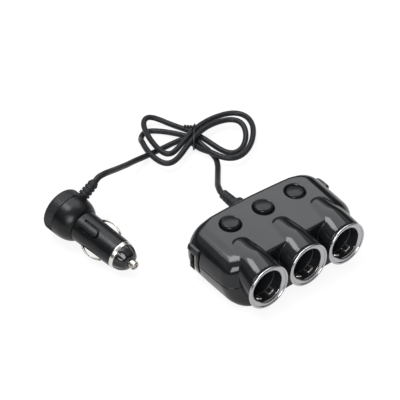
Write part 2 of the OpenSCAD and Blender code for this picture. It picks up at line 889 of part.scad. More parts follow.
spring_turns = 4;
spring_len = 9;
spring_mid_r = 2.2;
spring_wire_r = 0.35;
spring_rings = 8;
spring_sides = 6;
spring_from = fuse_from + fuse_len + spring_wire_r;
spring_span = spring_len - 2 * spring_wire_r;
module tip_spring() {
  rings = spring_turns * spring_rings;
  color(nickel)
    tube([for (n = [0 : rings])
      let (a = 360 * n / spring_rings)
      plug_point([spring_from + spring_span * n / rings,
        spring_mid_r * cos(a), spring_mid_r * sin(a)])], spring_wire_r, spring_sides);
}
spring_room = spring_len + tip_travel + pin_flange_gap;

// A side spring: a bowed leaf with its ends in a slot of the barrel
spring_angle = 32;
leaf_t = 0.8;
leaf_w = 4;
leaf_apex_s = 17;
leaf_apex_r = 13.3;
leaf_bow_r = 15;
leaf_half = 7.9;
leaf_side_gap = 0.3;
leaf_end_gap = 0.5;
leaf_under = 2.7;
leaf_inner_r = leaf_bow_r - leaf_t;
leaf_end_r = leaf_apex_r - leaf_bow_r + sqrt(leaf_inner_r * leaf_inner_r - leaf_half * leaf_half);
slot_floor_r = leaf_end_r - side_travel - leaf_under;
slot_half = leaf_half + leaf_end_gap;
slot_w = leaf_w + 2 * leaf_side_gap;

// A mark shaped like a U in the barrel
groove_angle = 61;
groove_s = 18.5;
groove_len = 11;
groove_w = 0.5;
groove_half = 3.1;
groove_floor_r = 10.1;
module groove() {
  rotate([groove_angle, 0, 0]) {
    for (s = [-1, 1])
      translate([groove_s, groove_floor_r, s * groove_half - groove_w / 2])
        cube([groove_len, barrel_r, groove_w]);
    intersection() {
      translate([groove_s, groove_floor_r, 0])
        rotate([-90, 0, 0])
          difference() {
            cylinder(r = groove_half + groove_w / 2, h = barrel_r, $fn = skin_fn);
            translate([0, 0, -over])
              cylinder(r = groove_half - groove_w / 2, h = barrel_r + 2 * over, $fn = skin_fn);
          }
      translate([groove_s - groove_half - over, 0, -groove_half - over])
        cube([groove_half + over + gap, 2 * barrel_r, 2 * (groove_half + over)]);
    }
  }
}

module plug_barrel() {
  color(black)
    difference() {
      plug_lathe()
        difference() {
          lathe_outline(barrel_shares, 0, barrel_len, barrel_r);
          translate([0, -over]) square([seat_r + close_gap, seat_len + close_gap + over]);
          translate([0, 0]) square([fuse_bore_r, barrel_len + over]);
        }
      at_plug() {
        rotate([-spring_angle, 0, 0])
          for (s = [-1, 1])
            translate([leaf_apex_s - slot_half, s * (slot_floor_r + cap_r) / 2
              - (cap_r - slot_floor_r) / 2, -slot_w / 2])
              cube([2 * slot_half, cap_r - slot_floor_r, slot_w]);
        groove();
      }
    }
}

module plug_head() {
  color(black)
    difference() {
      plug_lathe()
        difference() {
          lathe_outline(head_shares, barrel_len, head_len, cap_r);
          translate([0, barrel_len - over]) square([fuse_bore_r, spring_room + over]);
        }
      boot_root(close_gap);
    }
}

cap_edge = 1.5;
cap_step = 0.3;
cap_step_len = 0.8;
cap_neck_r = 12;
module plug_cap() {
  color(dark)
    difference() {
      plug_lathe() {
        translate([0, seam_s]) square([cap_r - cap_step, cap_step_len]);
        translate([0, seam_s + cap_step_len / 2])
          square([cap_r, cap_len - cap_edge - cap_step_len / 2]);
        translate([0, seam_s + cap_step_len / 2])
          square([cap_r - cap_edge, cap_len - cap_step_len / 2]);
        translate([cap_r - cap_edge, cap_to - cap_edge]) circle(r = cap_edge, $fn = rim_fn);
        translate([0, head_to]) square([cap_neck_r, 2 * seam_gap]);
      }
      boot_root(close_gap);
    }
}

// The plug's strain relief, and the part of it that is held inside the plug
root_from = 9;
root_t = 2.5;
root_r = 3.9;
root_neck_r = 3.3;
root_neck_from = root_from + root_t - gap;
root_neck_to = 16;
root_cut_to = 19;
boot_sleeve_r = 2.8;
boot_rib_r = 3.7;
boot_rib_w = 1.6;
boot_rib_from = 16.2;
boot_rib_step = 2.6;
boot_rib_taper = 0.12;
module boot_frame() {
  at_plug()
    translate([boot_axis_s, 0, 0])
      rotate([-boot_angle, 0, 0])
        rotate([90, 0, 0])
          children();
}
module boot_root(grow) {
  boot_frame() {
    translate([0, 0, root_from - grow])
      cylinder(r = root_r + grow, h = root_t + 2 * grow, $fn = skin_fn);
    translate([0, 0, root_neck_from])
      cylinder(r = root_neck_r + grow, h = root_cut_to - root_neck_from, $fn = skin_fn);
  }
}
module plug_boot() {
  color(dark)
    boot_frame()
      rotate_extrude($fn = skin_fn) {
        translate([0, root_from]) square([root_r, root_t]);
        translate([0, root_neck_from]) square([root_neck_r, root_neck_to - root_neck_from]);
        translate([0, root_neck_to - over]) square([boot_sleeve_r, boot_len - root_neck_to + over]);
        for (n = [0 : 3])
          translate([0, boot_rib_from + n * boot_rib_step])
            square([boot_rib_r - n * boot_rib_taper, boot_rib_w]);
      }
}

module side_spring(s) {
  color(nickel)
    at_plug()
      rotate([-spring_angle, 0, 0])
        mirror([0, s > 0 ? 1 : 0, 0])
          intersection() {
            translate([leaf_apex_s, leaf_apex_r - leaf_bow_r, -leaf_w / 2])
              difference() {
                cylinder(r = leaf_bow_r, h = leaf_w, $fn = fine_fn);
                translate([0, 0, -over])
                  cylinder(r = leaf_inner_r, h = leaf_w + 2 * over, $fn = fine_fn);
              }
            translate([leaf_apex_s - leaf_half, leaf_end_r - over, -leaf_w])
              cube([2 * leaf_half, leaf_bow_r, 2 * leaf_w]);
          }
}
module plug_side_spring_upper() { side_spring(1); }
module plug_side_spring_lower() { side_spring(-1); }

top_shell();
bottom_shell();
socket_liner_left();
socket_liner_middle();
socket_liner_right();
trim_ring_left();
trim_ring_middle();
trim_ring_right();
center_contact_left();
center_contact_middle();
center_contact_right();
side_contacts_left();
side_contacts_middle();
side_contacts_right();
button_left();
button_middle();
button_right();
switch_left();
switch_middle();
switch_right();
usb_bezel_left();
usb_bezel_right();
usb_shell_left();
usb_shell_right();
usb_tongue_left();
usb_tongue_right();
circuit_board();
shell_screws();
hub_cord_boot();
cord_lead_hub();
cord_bundle();
cord_lead_plug();
cord_tie();
plug_cap();
plug_head();
plug_barrel();
plug_boot();
plug_side_spring_upper();
plug_side_spring_lower();
plug_collar();
plug_nose();
tip_pin();
tip_spring();
plug_fuse();
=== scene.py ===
"""Car power socket splitter: a black hub with three chrome-ringed sockets, push buttons and
side ports, and a tied lead that ends in a fused plug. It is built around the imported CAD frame,
in metres. Each piece has its own operator, and main() calls them in order."""

import math
from itertools import product

import bmesh
import bpy
import numpy as np
from bpy.props import FloatProperty, FloatVectorProperty, IntProperty, PointerProperty
from bpy.types import Operator, Panel, PropertyGroup
from mathutils import Matrix, Vector


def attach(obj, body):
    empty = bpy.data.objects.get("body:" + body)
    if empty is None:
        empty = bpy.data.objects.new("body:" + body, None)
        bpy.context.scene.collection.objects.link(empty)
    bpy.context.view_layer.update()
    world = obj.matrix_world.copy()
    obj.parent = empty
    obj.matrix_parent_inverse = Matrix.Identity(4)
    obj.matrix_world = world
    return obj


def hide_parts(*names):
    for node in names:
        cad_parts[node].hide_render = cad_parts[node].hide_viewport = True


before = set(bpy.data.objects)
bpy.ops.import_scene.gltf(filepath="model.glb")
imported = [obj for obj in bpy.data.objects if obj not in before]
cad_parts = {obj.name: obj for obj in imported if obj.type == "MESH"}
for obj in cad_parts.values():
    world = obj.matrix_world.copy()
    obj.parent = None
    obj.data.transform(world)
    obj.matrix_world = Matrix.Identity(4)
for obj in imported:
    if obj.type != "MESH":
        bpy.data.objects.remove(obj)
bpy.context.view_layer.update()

bl_info = {
    "name": "Car Power Socket Splitter",
    "version": (1, 0, 0),
    "blender": (4, 5, 0),
    "location": "View3D > Sidebar > Splitter",
    "description": "Builds a three-socket car power splitter with its lead and plug",
    "category": "Object",
}

MM = 0.001
SIDES = ("left", "middle", "right")
PLACES = (-1, 0, 1)

# ---- Places that the CAD gives, in metres ----
PITCH = 31.8 * MM
REAR_Y = 32.002 * MM
HALF_W = 54.5 * MM
PART_Z = 16 * MM
DECK_Z = 33.9 * MM
DECK_Y = 15.204 * MM
MOUTH_Y = -30.7655 * MM
MOUTH_Z = 18 * MM
PORT_Y = 17.204 * MM
BEZEL_Z = 15.9 * MM
BUTTON_PITCH = 26.4 * MM
TILT = math.radians(5)
DECK_SLOPE = math.radians(2)
PLUG_AT = Vector((-84.3, 54.7, 9.8)) * MM
PLUG_RISE = math.radians(6.5)
PLUG_HEADING = math.radians(101.6)
SPRING_TURN = math.radians(-32)
MARK_TURN = math.radians(61)
BOOT_ANGLE = math.radians(29)
BOOT_AXIS_S = 48.6 * MM
SHARP = math.radians(42)


# ---- Sizes and colours that a user would change ----
def size(name, description, millimetres):
    value = millimetres * MM
    return FloatProperty(
        name=name, description=description, default=value, min=0, subtype="DISTANCE", unit="LENGTH"
    )


def colour(name, description, rgb):
    return FloatVectorProperty(
        name=name, description=description, default=rgb, min=0, max=1, size=3, subtype="COLOR"
    )


def amount(name, description, value):
    return FloatProperty(name=name, description=description, default=value, min=0)


class SplitterStage(PropertyGroup):
    floor: colour("Floor", "Colour of the table and the sweep behind it", (0.9, 0.9, 0.9))
    sky: amount("Overhead", "Brightness of the pale ceiling", 0.7)
    horizon: amount("Backdrop", "Brightness of the room at table level", 0.85)
    key_watts: amount("Key light", "Power of the softbox at the front left", 12)
    top_watts: amount("Top light", "Power of the wide softbox overhead", 10)
    over_watts: amount("Over light", "Power of the softbox above the plug", 3.8)
    lens: amount("Lens", "Focal length of the camera, in millimetres", 87.48)


class SplitterHub(PropertyGroup):
    cell: size("Mesh cell", "Spacing of the net that the shells are drawn on", 0.56)
    wall: size("Wall", "Wall thickness of the shells", 2)
    deck_edge: size("Deck edge", "Rounding where the deck turns down", 1.8)
    end_edge: size("End edge", "Added to the deck edge at the ends of the deck", 3.6)
    hump_blend: size("Hump blend", "Rounding where a socket's hump meets the deck", 0.5)
    seam_edge: size("Seam edge", "Rounding of the shells' edges at the parting line", 0.45)


class SplitterSockets(PropertyGroup):
    ring_radius: size("Ring radius", "Outer radius of a trim ring", 15)
    lip_radius: size("Lip radius", "Inner radius of a trim ring", 11)
    bore_radius: size("Bore radius", "Radius of the bore behind its lead-in", 10.7)
    bore_length: size("Bore length", "Depth of a socket", 38)
    contact_bar: size("Contact bar", "Width of the bent metal of a side contact", 1.2)


class SplitterButtons(PropertyGroup):
    radius: size("Button radius", "Radius of a button cap", 6.2)
    dome: size("Dome radius", "Radius of the cap's domed top", 26)
    edge: size("Button edge", "Rounding of the cap's rim", 1.7)
    latch_drop: size("Latch drop", "How far the latched button stays down", 1.8)


class SplitterLead(PropertyGroup):
    diameter: size("Lead diameter", "Diameter of the lead", 4.2)
    length: size("Lead length", "Length of the lead from one strain relief to the other", 717)
    tie_diameter: size("Tie diameter", "Diameter of the tie wire", 1.4)


class SplitterPlug(PropertyGroup):
    cap_radius: size("Cap radius", "Radius of the wide cap", 15.5)
    barrel_radius: size("Barrel radius", "Radius of the barrel at the cap's end", 10.9)
    knurls: IntProperty(name="Knurls", description="Fine ribs round the cap", default=96, min=3)
    knurl_depth: size("Knurl depth", "Height of a rib on the cap", 0.16)
    flutes: IntProperty(name="Flutes", description="Soft hollows round the nose", default=10, min=1)


class SplitterFinishes(PropertyGroup):
    gloss_black: colour("Gloss black", "Moulded plastic of the shells", (0.006, 0.0062, 0.0068))
    satin_black: colour("Satin black", "Moulded plastic of the plug and buttons", (0.008, 0.0085, 0.0095))
    rubber_black: colour("Rubber black", "Cover of the lead and its strain reliefs", (0.01, 0.0102, 0.011))
    chrome: colour("Satin chrome", "Trim rings", (0.41, 0.41, 0.42))
    nickel: colour("Nickel", "Collar, centre contacts and port shells", (0.74, 0.72, 0.68))
    # On the rims of the ports this paler metal is a painted highlight along their lit edge
    contact: colour("Contact metal", "Side contacts and the rims of the ports", (0.82, 0.8, 0.76))
    spring: colour("Spring metal", "Side springs and the tip", (0.42, 0.4, 0.37))
    steel: colour("Steel", "Screws", (0.32, 0.32, 0.33))
    gold: colour("Gold", "Contact strips of the ports", (0.6, 0.48, 0.26))
    board: colour("Board", "Solder mask of the circuit board", (0.02, 0.11, 0.045))
    tongue: colour("Tongue", "Plastic inside the ports", (0.014, 0.013, 0.013))
    glass: colour("Glass", "Body of the fuse", (0.86, 0.88, 0.87))


# ---- Meshes ----
def link(name, mesh):
    piece = bpy.data.objects.new(name, mesh)
    bpy.context.scene.collection.objects.link(piece)
    return piece


def plain(name, points, faces):
    mesh = bpy.data.meshes.new(name)
    mesh.from_pydata([tuple(p) for p in points], [], [tuple(f) for f in faces])
    return mesh


def smoothed(name, mesh, sharp=SHARP):
    mesh.shade_smooth()
    mesh.set_sharp_from_angle(angle=sharp)
    return link(name, mesh)


def mesh_piece(name, points, faces, sharp=SHARP):
    """A closed smooth-shaded mesh: doubles merged, faces turned outwards, hard corners kept."""
    mesh = plain(name, points, faces)
    shape = bmesh.new()
    shape.from_mesh(mesh)
    bmesh.ops.remove_doubles(shape, verts=shape.verts, dist=1e-7)
    bmesh.ops.dissolve_degenerate(shape, edges=shape.edges, dist=1e-7)
    bmesh.ops.recalc_face_normals(shape, faces=shape.faces)
    shape.to_mesh(mesh)
    shape.free()
    return smoothed(name, mesh, sharp)


def join(name, parts):
    """Several meshes as one object."""
    shape = bmesh.new()
    for part in parts:
        mesh = part.data
        shape.from_mesh(mesh)
        bpy.data.objects.remove(part)
        bpy.data.meshes.remove(mesh)
    mesh = bpy.data.meshes.new(name)
    shape.to_mesh(mesh)
    shape.free()
    return smoothed(name, mesh)


def settled(piece):
    """The mesh of a piece with its modifiers applied; the piece itself goes."""
    bpy.context.view_layer.update()
    depsgraph = bpy.context.evaluated_depsgraph_get()
    made = bpy.data.meshes.new_from_object(piece.evaluated_get(depsgraph), depsgraph=depsgraph)
    piece.modifiers.clear()
    bpy.data.objects.remove(piece)
    return made


def carved(piece, cutters):
    """The mesh of a piece with cutters taken out of it; all of them go."""
    for cutter in cutters:
        cut = piece.modifiers.new("cut", "BOOLEAN")
        cut.operation, cut.solver, cut.object = "DIFFERENCE", "EXACT", cutter
    made = settled(piece)
    for cutter in cutters:
        bpy.data.objects.remove(cutter)
    return made


def prism(points):
    """A block with four corners at one end and the matching four at the other."""
    faces = [(0, 3, 2, 1), (4, 5, 6, 7), (0, 1, 5, 4), (1, 2, 6, 5), (2, 3, 7, 6), (3, 0, 4, 7)]
    return mesh_piece("cutter", points, faces, sharp=0.1)


def bands(rows, count, closed=False):
    """Faces between rows of points that each go once round."""
    faces = []
    for n in range(rows if closed else rows - 1):
        here, there = n * count, (n + 1) % rows * count
        for k in range(count):
            after = (k + 1) % count
            faces.append((here + k, here + after, there + after, there + k))
    return faces


class Placing:
    """An origin and three axes: x along a lathe's axis, y and z across it."""

    def __init__(self, origin, along, across):
        self.origin = np.array(origin, float)
        x = np.array(along, float)
        x = x / np.linalg.norm(x)
        y = np.array(across, float)
        y = y - x * (y @ x)
        y = y / np.linalg.norm(y)
        self.axes = np.stack([x, y, np.cross(x, y)])

    def at(self, local):
        return self.origin + np.asarray(local, float) @ self.axes


def socket_placing(i):
    """Along the socket, inwards from the front of its ring; y is up."""
    along, up = (0, math.cos(TILT), -math.sin(TILT)), (0, math.sin(TILT), math.cos(TILT))
    return Placing((i * PITCH, MOUTH_Y, MOUTH_Z), along, up)


def turned(v):
    """A direction of the plug's own frame, in the whole object's frame."""
    return Matrix.Rotation(PLUG_HEADING, 3, "Z") @ Matrix.Rotation(-PLUG_RISE, 3, "Y") @ Vector(v)


PLUG = Placing(PLUG_AT, turned((1, 0, 0)), turned((0, 1, 0)))
BOOT_WAY = (0, -math.cos(BOOT_ANGLE), math.sin(BOOT_ANGLE))
PLUG_BOOT = Placing(PLUG.at((BOOT_AXIS_S, 0, 0)), turned(BOOT_WAY), turned((1, 0, 0)))
HUB_BOOT = Placing((0, REAR_Y, PART_Z), (0, 1, 0), (0, 0, 1))
UPRIGHT = ((0, 0, 1), (1, 0, 0))


def filleted(profile, radius, steps=4, closed=True):
    """The outline with each corner turned into a small arc."""
    points = [np.array(p, float) for p in profile]
    count = len(points)
    made = []
    for n, corner in enumerate(points):
        if not closed and n in (0, count - 1):
            made.append(corner)
            continue
        before, after = points[(n - 1) % count] - corner, points[(n + 1) % count] - corner
        a, b = np.linalg.norm(before), np.linalg.norm(after)
        cosine = float(before @ after / (a * b))
        half = math.acos(max(-1, min(1, cosine))) / 2
        if half > math.radians(86) or corner[1] == 0:
            made.append(corner)
            continue
        reach = min(radius / math.tan(half), 0.45 * a, 0.45 * b)
        start, end = corner + before / a * reach, corner + after / b * reach
        for t in np.arange(steps + 1) / steps:
            made.append((1 - t) ** 2 * start + 2 * t * (1 - t) * corner + t * t * end)
    return np.array(made)


def lathe(name, profile, placing, segments=96, radius=0.2, closed=True, steps=4):
    """An outline of (along, radius) pairs in millimetres, with its corners rounded, turned round
    a placing's axis."""
    outline = filleted(np.array(profile) * MM, radius * MM, steps, closed)
    turn = np.linspace(0, 2 * math.pi, segments, endpoint=False)
    along, out = outline[:, :1], outline[:, 1:]
    local = np.stack([along + 0 * turn, out * np.cos(turn), out * np.sin(turn)], axis=-1)
    return mesh_piece(name, placing.at(local.reshape(-1, 3)), bands(len(outline), segments, closed))


def catmull(points, steps, closed=False):
    """A smooth curve through points, with a number of steps in each span."""
    p = np.asarray(points, float)
    count = len(p)
    made = []
    for n in range(count if closed else count - 1):
        pick = [(n + k) % count if closed else min(max(n + k, 0), count - 1) for k in (-1, 0, 1, 2)]
        a, b, c, d = p[pick]
        square, cube = 2 * a - 5 * b + 4 * c - d, 3 * b - a - 3 * c + d
        for t in np.arange(steps) / steps:
            made.append(0.5 * (2 * b + (c - a) * t + square * t * t + cube * t**3))
    if not closed:
        made.append(p[-1])
    return np.array(made)


def sweep(name, path, section, closed=False, start_up=(0, 0, 1)):
    """A tube: a closed outline of (side, up) pairs carried along a path without twisting, with a
    UV map whose u runs along the path in metres and v once round it."""
    path = np.asarray(path, float)
    count, sides = len(path), len(section)
    ahead = np.roll(path, -1, 0) - np.roll(path, 1, 0)
    if not closed:
        ahead[0], ahead[-1] = path[1] - path[0], path[-1] - path[-2]
    ahead /= np.linalg.norm(ahead, axis=1)[:, None]
    up = np.array(start_up, float)
    rows = []
    for n in range(count):
        up = up - ahead[n] * (up @ ahead[n])
        up /= np.linalg.norm(up)
        side = np.cross(ahead[n], up)
        rows.append(path[n] + section[:, :1] * side + section[:, 1:2] * up)
    faces = bands(count, sides, closed)
    spans = len(faces) // sides
    if not closed:
        faces += [tuple(range(sides - 1, -1, -1)), tuple((count - 1) * sides + k for k in range(sides))]
    mesh = plain(name, np.concatenate(rows), faces)
    steps = np.linalg.norm(np.roll(path, -1, 0) - path, axis=1)
    along = np.r_[0, np.cumsum(steps)]
    uv = mesh.uv_layers.new(name="UVMap")
    for n, k in product(range(spans), range(sides)):
        corners = ((n, k), (n, k + 1), (n + 1, k + 1), (n + 1, k))
        for c, (a, b) in enumerate(corners):
            uv.data[(n * sides + k) * 4 + c].uv = (along[a], b / sides)
    return smoothed(name, mesh)


def circle(radius, sides):
    turn = np.linspace(0, 2 * math.pi, sides, endpoint=False)
    return np.stack([radius * np.cos(turn), radius * np.sin(turn)], axis=1)


def rounded_rectangle(width, height, radius, steps=4):
    """Points round a rectangle with round corners, about its middle."""
    made = []
    for n, (sx, sy) in enumerate(((1, 1), (-1, 1), (-1, -1), (1, -1))):
        for turn in math.pi / 2 * (n + np.arange(steps + 1) / steps):
            x, y = sx * (width / 2 - radius), sy * (height / 2 - radius)
            made.append((x + radius * math.cos(turn), y + radius * math.sin(turn)))
    return np.array(made)


# ---- Shapes that are given by a distance and drawn as a net ----
def soft_max(a, b, width):
    h = np.clip(0.5 + 0.5 * (a - b) / width, 0, 1)
    return b + (a - b) * h + width * h * (1 - h)


def soft_min(a, b, width):
    return -soft_max(-a, -b, width)


def box_distance(x, y, z, middle, half, edge):
    """Distance to a box whose edges have a small rounding."""
    q = [np.abs(v - m) - (h - edge) for v, m, h in zip((x, y, z), middle, half)]
    outside = np.sqrt(sum(np.maximum(v, 0) ** 2 for v in q))
    return outside + np.minimum(np.maximum(np.maximum(q[0], q[1]), q[2]), 0) - edge


def grid(low, high, cell):
    axes = [np.arange(a, b + cell, cell, dtype=np.float32) for a, b in zip(low, high)]
    return np.meshgrid(*axes, indexing="ij")


def sampled(field, spots):
    """Values of a field between its grid points."""
    base = np.clip(np.floor(spots).astype(int), 0, np.array(field.shape[:3]) - 2)
    t = spots - base
    total = 0
    for corner in product((0, 1), repeat=3):
        weight = np.prod([t[:, n] if c else 1 - t[:, n] for n, c in enumerate(corner)], axis=0)
        value = field[tuple((base + corner).T)]
        total = total + (weight[:, None] * value if value.ndim > 1 else weight * value)
    return total


def net_piece(name, values, low, cell):
    """The surface where a field of distances is zero, as a mesh with smooth normals."""
    values = np.pad(values[1:-1, 1:-1, 1:-1], 1, constant_values=cell).astype(np.float32)
    cells = tuple(n - 1 for n in values.shape)
    total, count = np.zeros((*cells, 3), np.float32), np.zeros(cells, np.float32)
    crossings = []
    for axis in range(3):
        first = np.take(values, range(values.shape[axis] - 1), axis)
        second = np.take(values, range(1, values.shape[axis]), axis)
        cross = (first < 0) != (second < 0)
        crossings.append((cross, first < 0))
        share = np.where(cross, first / np.where(cross, first - second, 1), 0)
        p, q = [a for a in range(3) if a != axis]
        for b, c in product((0, 1), repeat=2):
            window = [slice(None)] * 3
            window[p], window[q] = slice(b, b + cells[p]), slice(c, c + cells[q])
            here = cross[tuple(window)]
            total[..., axis] += share[tuple(window)]
            total[..., p] += here * b
            total[..., q] += here * c
            count += here
    used = count > 0
    index = np.full(cells, -1, np.int64)
    index[used] = np.arange(used.sum())
    spots = np.argwhere(used) + total[used] / count[used][:, None]
    slope = np.stack(np.gradient(values), axis=-1)
    for _ in range(2):
        ways = sampled(slope, spots)
        step = sampled(values, spots)[:, None] * ways / np.maximum((ways**2).sum(1), 1e-12)[:, None]
        spots = spots - np.clip(step, -0.4, 0.4)
    faces = []
    for axis, (cross, inside) in enumerate(crossings):
        b, c = (axis + 1) % 3, (axis + 2) % 3
        at = np.argwhere(cross)
        at = at[(at[:, b] > 0) & (at[:, c] > 0)]
        corners = []
        for db, dc in ((1, 1), (0, 1), (0, 0), (1, 0)):
            spot = at.copy()
            spot[:, b] -= db
            spot[:, c] -= dc
            corners.append(index[tuple(spot.T)])
        quads = np.stack(corners, axis=1)
        turned_in = ~inside[tuple(at.T)]
        quads[turned_in] = quads[turned_in][:, ::-1]
        faces.append(quads)
    normals = sampled(slope, spots)
    normals /= np.maximum(np.linalg.norm(normals, axis=1), 1e-9)[:, None]
    mesh = plain(name, np.array(low) + spots * cell, np.concatenate(faces).tolist())
    mesh.shade_smooth()
    mesh.normals_split_custom_set_from_vertices([tuple(n) for n in normals])
    return link(name, mesh)


# ---- Nodes and materials ----
def fill(node, inputs):
    """Sets a node's inputs, by name or number, to a value or to the socket that they come from."""
    for key, value in inputs.items():
        if isinstance(value, bpy.types.NodeSocket):
            node.id_data.links.new(value, node.inputs[key])
        else:
            node.inputs[key].default_value = value
    return node


def add_node(tree, kind, inputs=None, **settings):
    made = tree.nodes.new(kind)
    for key, value in settings.items():
        setattr(made, key, value)
    return fill(made, inputs or {})


def lighter(rgb, factor):
    return tuple(min(1.0, v * factor) for v in rgb)


def reflecting(ior, level):
    """How strongly a plastic or rubber reflects, as inputs of its shader."""
    return {"IOR": ior, "Specular IOR Level": level}


FINISH = {}


class Shader:
    """A node material round one Principled shader, kept in FINISH under its name."""

    def __init__(self, name, base, roughness, metallic=0.0, extra=None):
        material = bpy.data.materials.new(name)
        material.use_nodes = True
        FINISH[name] = material
        self.tree = material.node_tree
        self.shader = self.tree.nodes["Principled BSDF"]
        inputs = {"Base Color": (*base, 1), "Roughness": roughness, "Metallic": metallic}
        fill(self.shader, inputs | (extra or {}))

    def coordinates(self, kind="Object", stretch=(1, 1, 1)):
        place = add_node(self.tree, "ShaderNodeTexCoord")
        inputs = {"Vector": place.outputs[kind], "Scale": stretch}
        return add_node(self.tree, "ShaderNodeMapping", inputs).outputs["Vector"]

    def noise(self, scale, detail=2.0, kind="Object", stretch=(1, 1, 1)):
        """Noise whose scale is in features a metre."""
        inputs = {"Scale": scale, "Detail": detail, "Vector": self.coordinates(kind, stretch)}
        return add_node(self.tree, "ShaderNodeTexNoise", inputs).outputs["Fac"]

    def ramp(self, source, low, high, start=0.3, end=0.7):
        """Turns a value between start and end into one between low and high."""
        inputs = {"Value": source, "From Min": start, "From Max": end, "To Min": low, "To Max": high}
        return add_node(self.tree, "ShaderNodeMapRange", inputs).outputs["Result"]

    def rough(self, source, low, high):
        fill(self.shader, {"Roughness": self.ramp(source, low, high)})

    def tint(self, source, first, second, start=0.3, end=0.7):
        inputs = {0: self.ramp(source, 0, 1, start, end), 6: (*first, 1), 7: (*second, 1)}
        mix = add_node(self.tree, "ShaderNodeMix", inputs, data_type="RGBA")
        fill(self.shader, {"Base Color": mix.outputs[2]})

    def bump(self, source, distance, strength):
        """Fine relief: the distance is in metres."""
        inputs = {"Height": source, "Distance": distance, "Strength": strength}
        fill(self.shader, {"Normal": add_node(self.tree, "ShaderNodeBump", inputs).outputs["Normal"]})


def plastic_finishes(f):
    black, satin = tuple(f.gloss_black), tuple(f.satin_black)

    gloss = Shader("gloss_plastic", black, 0.1, extra=reflecting(1.5, 0.33))
    gloss.tint(gloss.noise(60, 3), black, lighter(black, 1.6))
    gloss.rough(gloss.noise(110, 3), 0.08, 0.14)
    gloss.bump(gloss.noise(160, 2), 0.00001, 0.15)

    plug = Shader("plug_plastic", lighter(satin, 0.4), 0.31, extra=reflecting(1.48, 0.26))
    plug.tint(plug.noise(160, 3), lighter(satin, 0.35), lighter(satin, 0.5))
    plug.rough(plug.noise(260, 3), 0.29, 0.34)

    button = Shader("button_plastic", satin, 0.2, extra=reflecting(1.5, 0.2))
    button.rough(button.noise(240, 3), 0.17, 0.24)
    button.bump(button.noise(900, 2), 0.00001, 0.1)

    liner = Shader("liner_plastic", lighter(satin, 0.8), 0.42)
    liner.rough(liner.noise(600, 3), 0.34, 0.5)
    liner.bump(liner.noise(3200, 2), 0.00003, 0.5)

    nose = Shader("nose_plastic", lighter(black, 0.9), 0.14, extra=reflecting(1.52, 0.4))
    nose.rough(nose.noise(300, 3), 0.11, 0.2)
    nose.bump(nose.noise(260, 2), 0.00008, 0.4)

    tongue = Shader("tongue_plastic", tuple(f.tongue), 0.42)
    tongue.rough(tongue.noise(1200, 3), 0.36, 0.5)


def rubber_finishes(f):
    rubber = tuple(f.rubber_black)

    boot = Shader("rubber", rubber, 0.5, extra=reflecting(1.45, 0.25))
    boot.tint(boot.noise(900, 3), rubber, lighter(rubber, 1.6))
    boot.rough(boot.noise(1400, 4), 0.44, 0.6)
    boot.bump(boot.noise(6400, 2), 0.00004, 0.6)

    lead = Shader("lead_cover", rubber, 0.42, extra=reflecting(1.45, 0.22))
    lead.tint(lead.noise(400, 3, "UV", (1, 0.02, 1)), rubber, lighter(rubber, 1.5))
    lead.rough(lead.noise(900, 4, "UV", (0.3, 0.01, 1)), 0.34, 0.48)
    lead.bump(lead.noise(5200, 2), 0.00003, 0.5)

    tie = Shader("tie_cover", lighter(rubber, 0.9), 0.3)
    tie.rough(tie.noise(1200, 3), 0.25, 0.38)
    tie.bump(tie.noise(2600, 2), 0.00004, 0.5)


def metal_finishes(f):
    chrome = Shader("satin_chrome", tuple(f.chrome), 0.2, 1.0)
    chrome.rough(chrome.noise(800, 4, stretch=(1, 3, 1)), 0.17, 0.27)
    chrome.bump(chrome.noise(2400, 3), 0.00001, 0.4)

    nickel = Shader("nickel", tuple(f.nickel), 0.22, 1.0)
    nickel.tint(nickel.noise(500, 3), tuple(f.nickel), lighter(f.nickel, 0.86))
    nickel.rough(nickel.noise(1500, 4), 0.14, 0.3)

    contact = Shader("contact_nickel", tuple(f.contact), 0.4, 1.0)
    contact.tint(contact.noise(900, 3), tuple(f.contact), (0.7, 0.68, 0.64))
    contact.rough(contact.noise(1800, 3), 0.34, 0.5)

    spring = Shader("spring_steel", tuple(f.spring), 0.3, 1.0)
    spring.tint(spring.noise(700, 3), tuple(f.spring), (0.35, 0.33, 0.3))
    spring.rough(spring.noise(1500, 3), 0.24, 0.4)

    steel = Shader("screw_steel", tuple(f.steel), 0.32, 1.0)
    steel.rough(steel.noise(2200, 4), 0.25, 0.42)

    gold = Shader("gold_strip", tuple(f.gold), 0.2, 1.0)
    gold.rough(gold.noise(1600, 3), 0.15, 0.28)


def board_finish(f):
    """Solder mask, paler along the copper tracks under it."""
    mask = Shader("board_mask", tuple(f.board), 0.3)
    inputs = {"Scale": 420, "Vector": mask.coordinates()}
    cells = {"feature": "DISTANCE_TO_EDGE", "distance": "MANHATTAN"}
    edge = add_node(mask.tree, "ShaderNodeTexVoronoi", inputs, **cells).outputs["Distance"]
    mask.tint(edge, lighter(f.board, 1.9), tuple(f.board), 0.04, 0.07)
    mask.bump(edge, 0.00003, 0.4)


def glass_finish(f):
    glass = Shader("fuse_glass", tuple(f.glass), 0.08, extra={"Transmission Weight": 0.75, "IOR": 1.5})
    glass.rough(glass.noise(700, 2), 0.05, 0.14)


class SPLITTER_OT_finishes(Operator):
    """Every material of the splitter, by the name of what it is"""

    bl_idname = "splitter.finishes"
    bl_label = "Finishes"

    def execute(self, context):
        for make in (plastic_finishes, rubber_finishes, metal_finishes, board_finish, glass_finish):
            make(context.scene.splitter_finishes)
        return {"FINISHED"}


def paint(piece, finish):
    piece.data.materials.clear()
    piece.data.materials.append(FINISH[finish])


def dress(piece, finish, body, slot, *replaced):
    """Gives a new piece its material and body, and hides the CAD nodes that it stands for; the slot is not
    used.
    """
    paint(piece, finish)
    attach(piece, body)
    if replaced:
        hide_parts(*replaced)


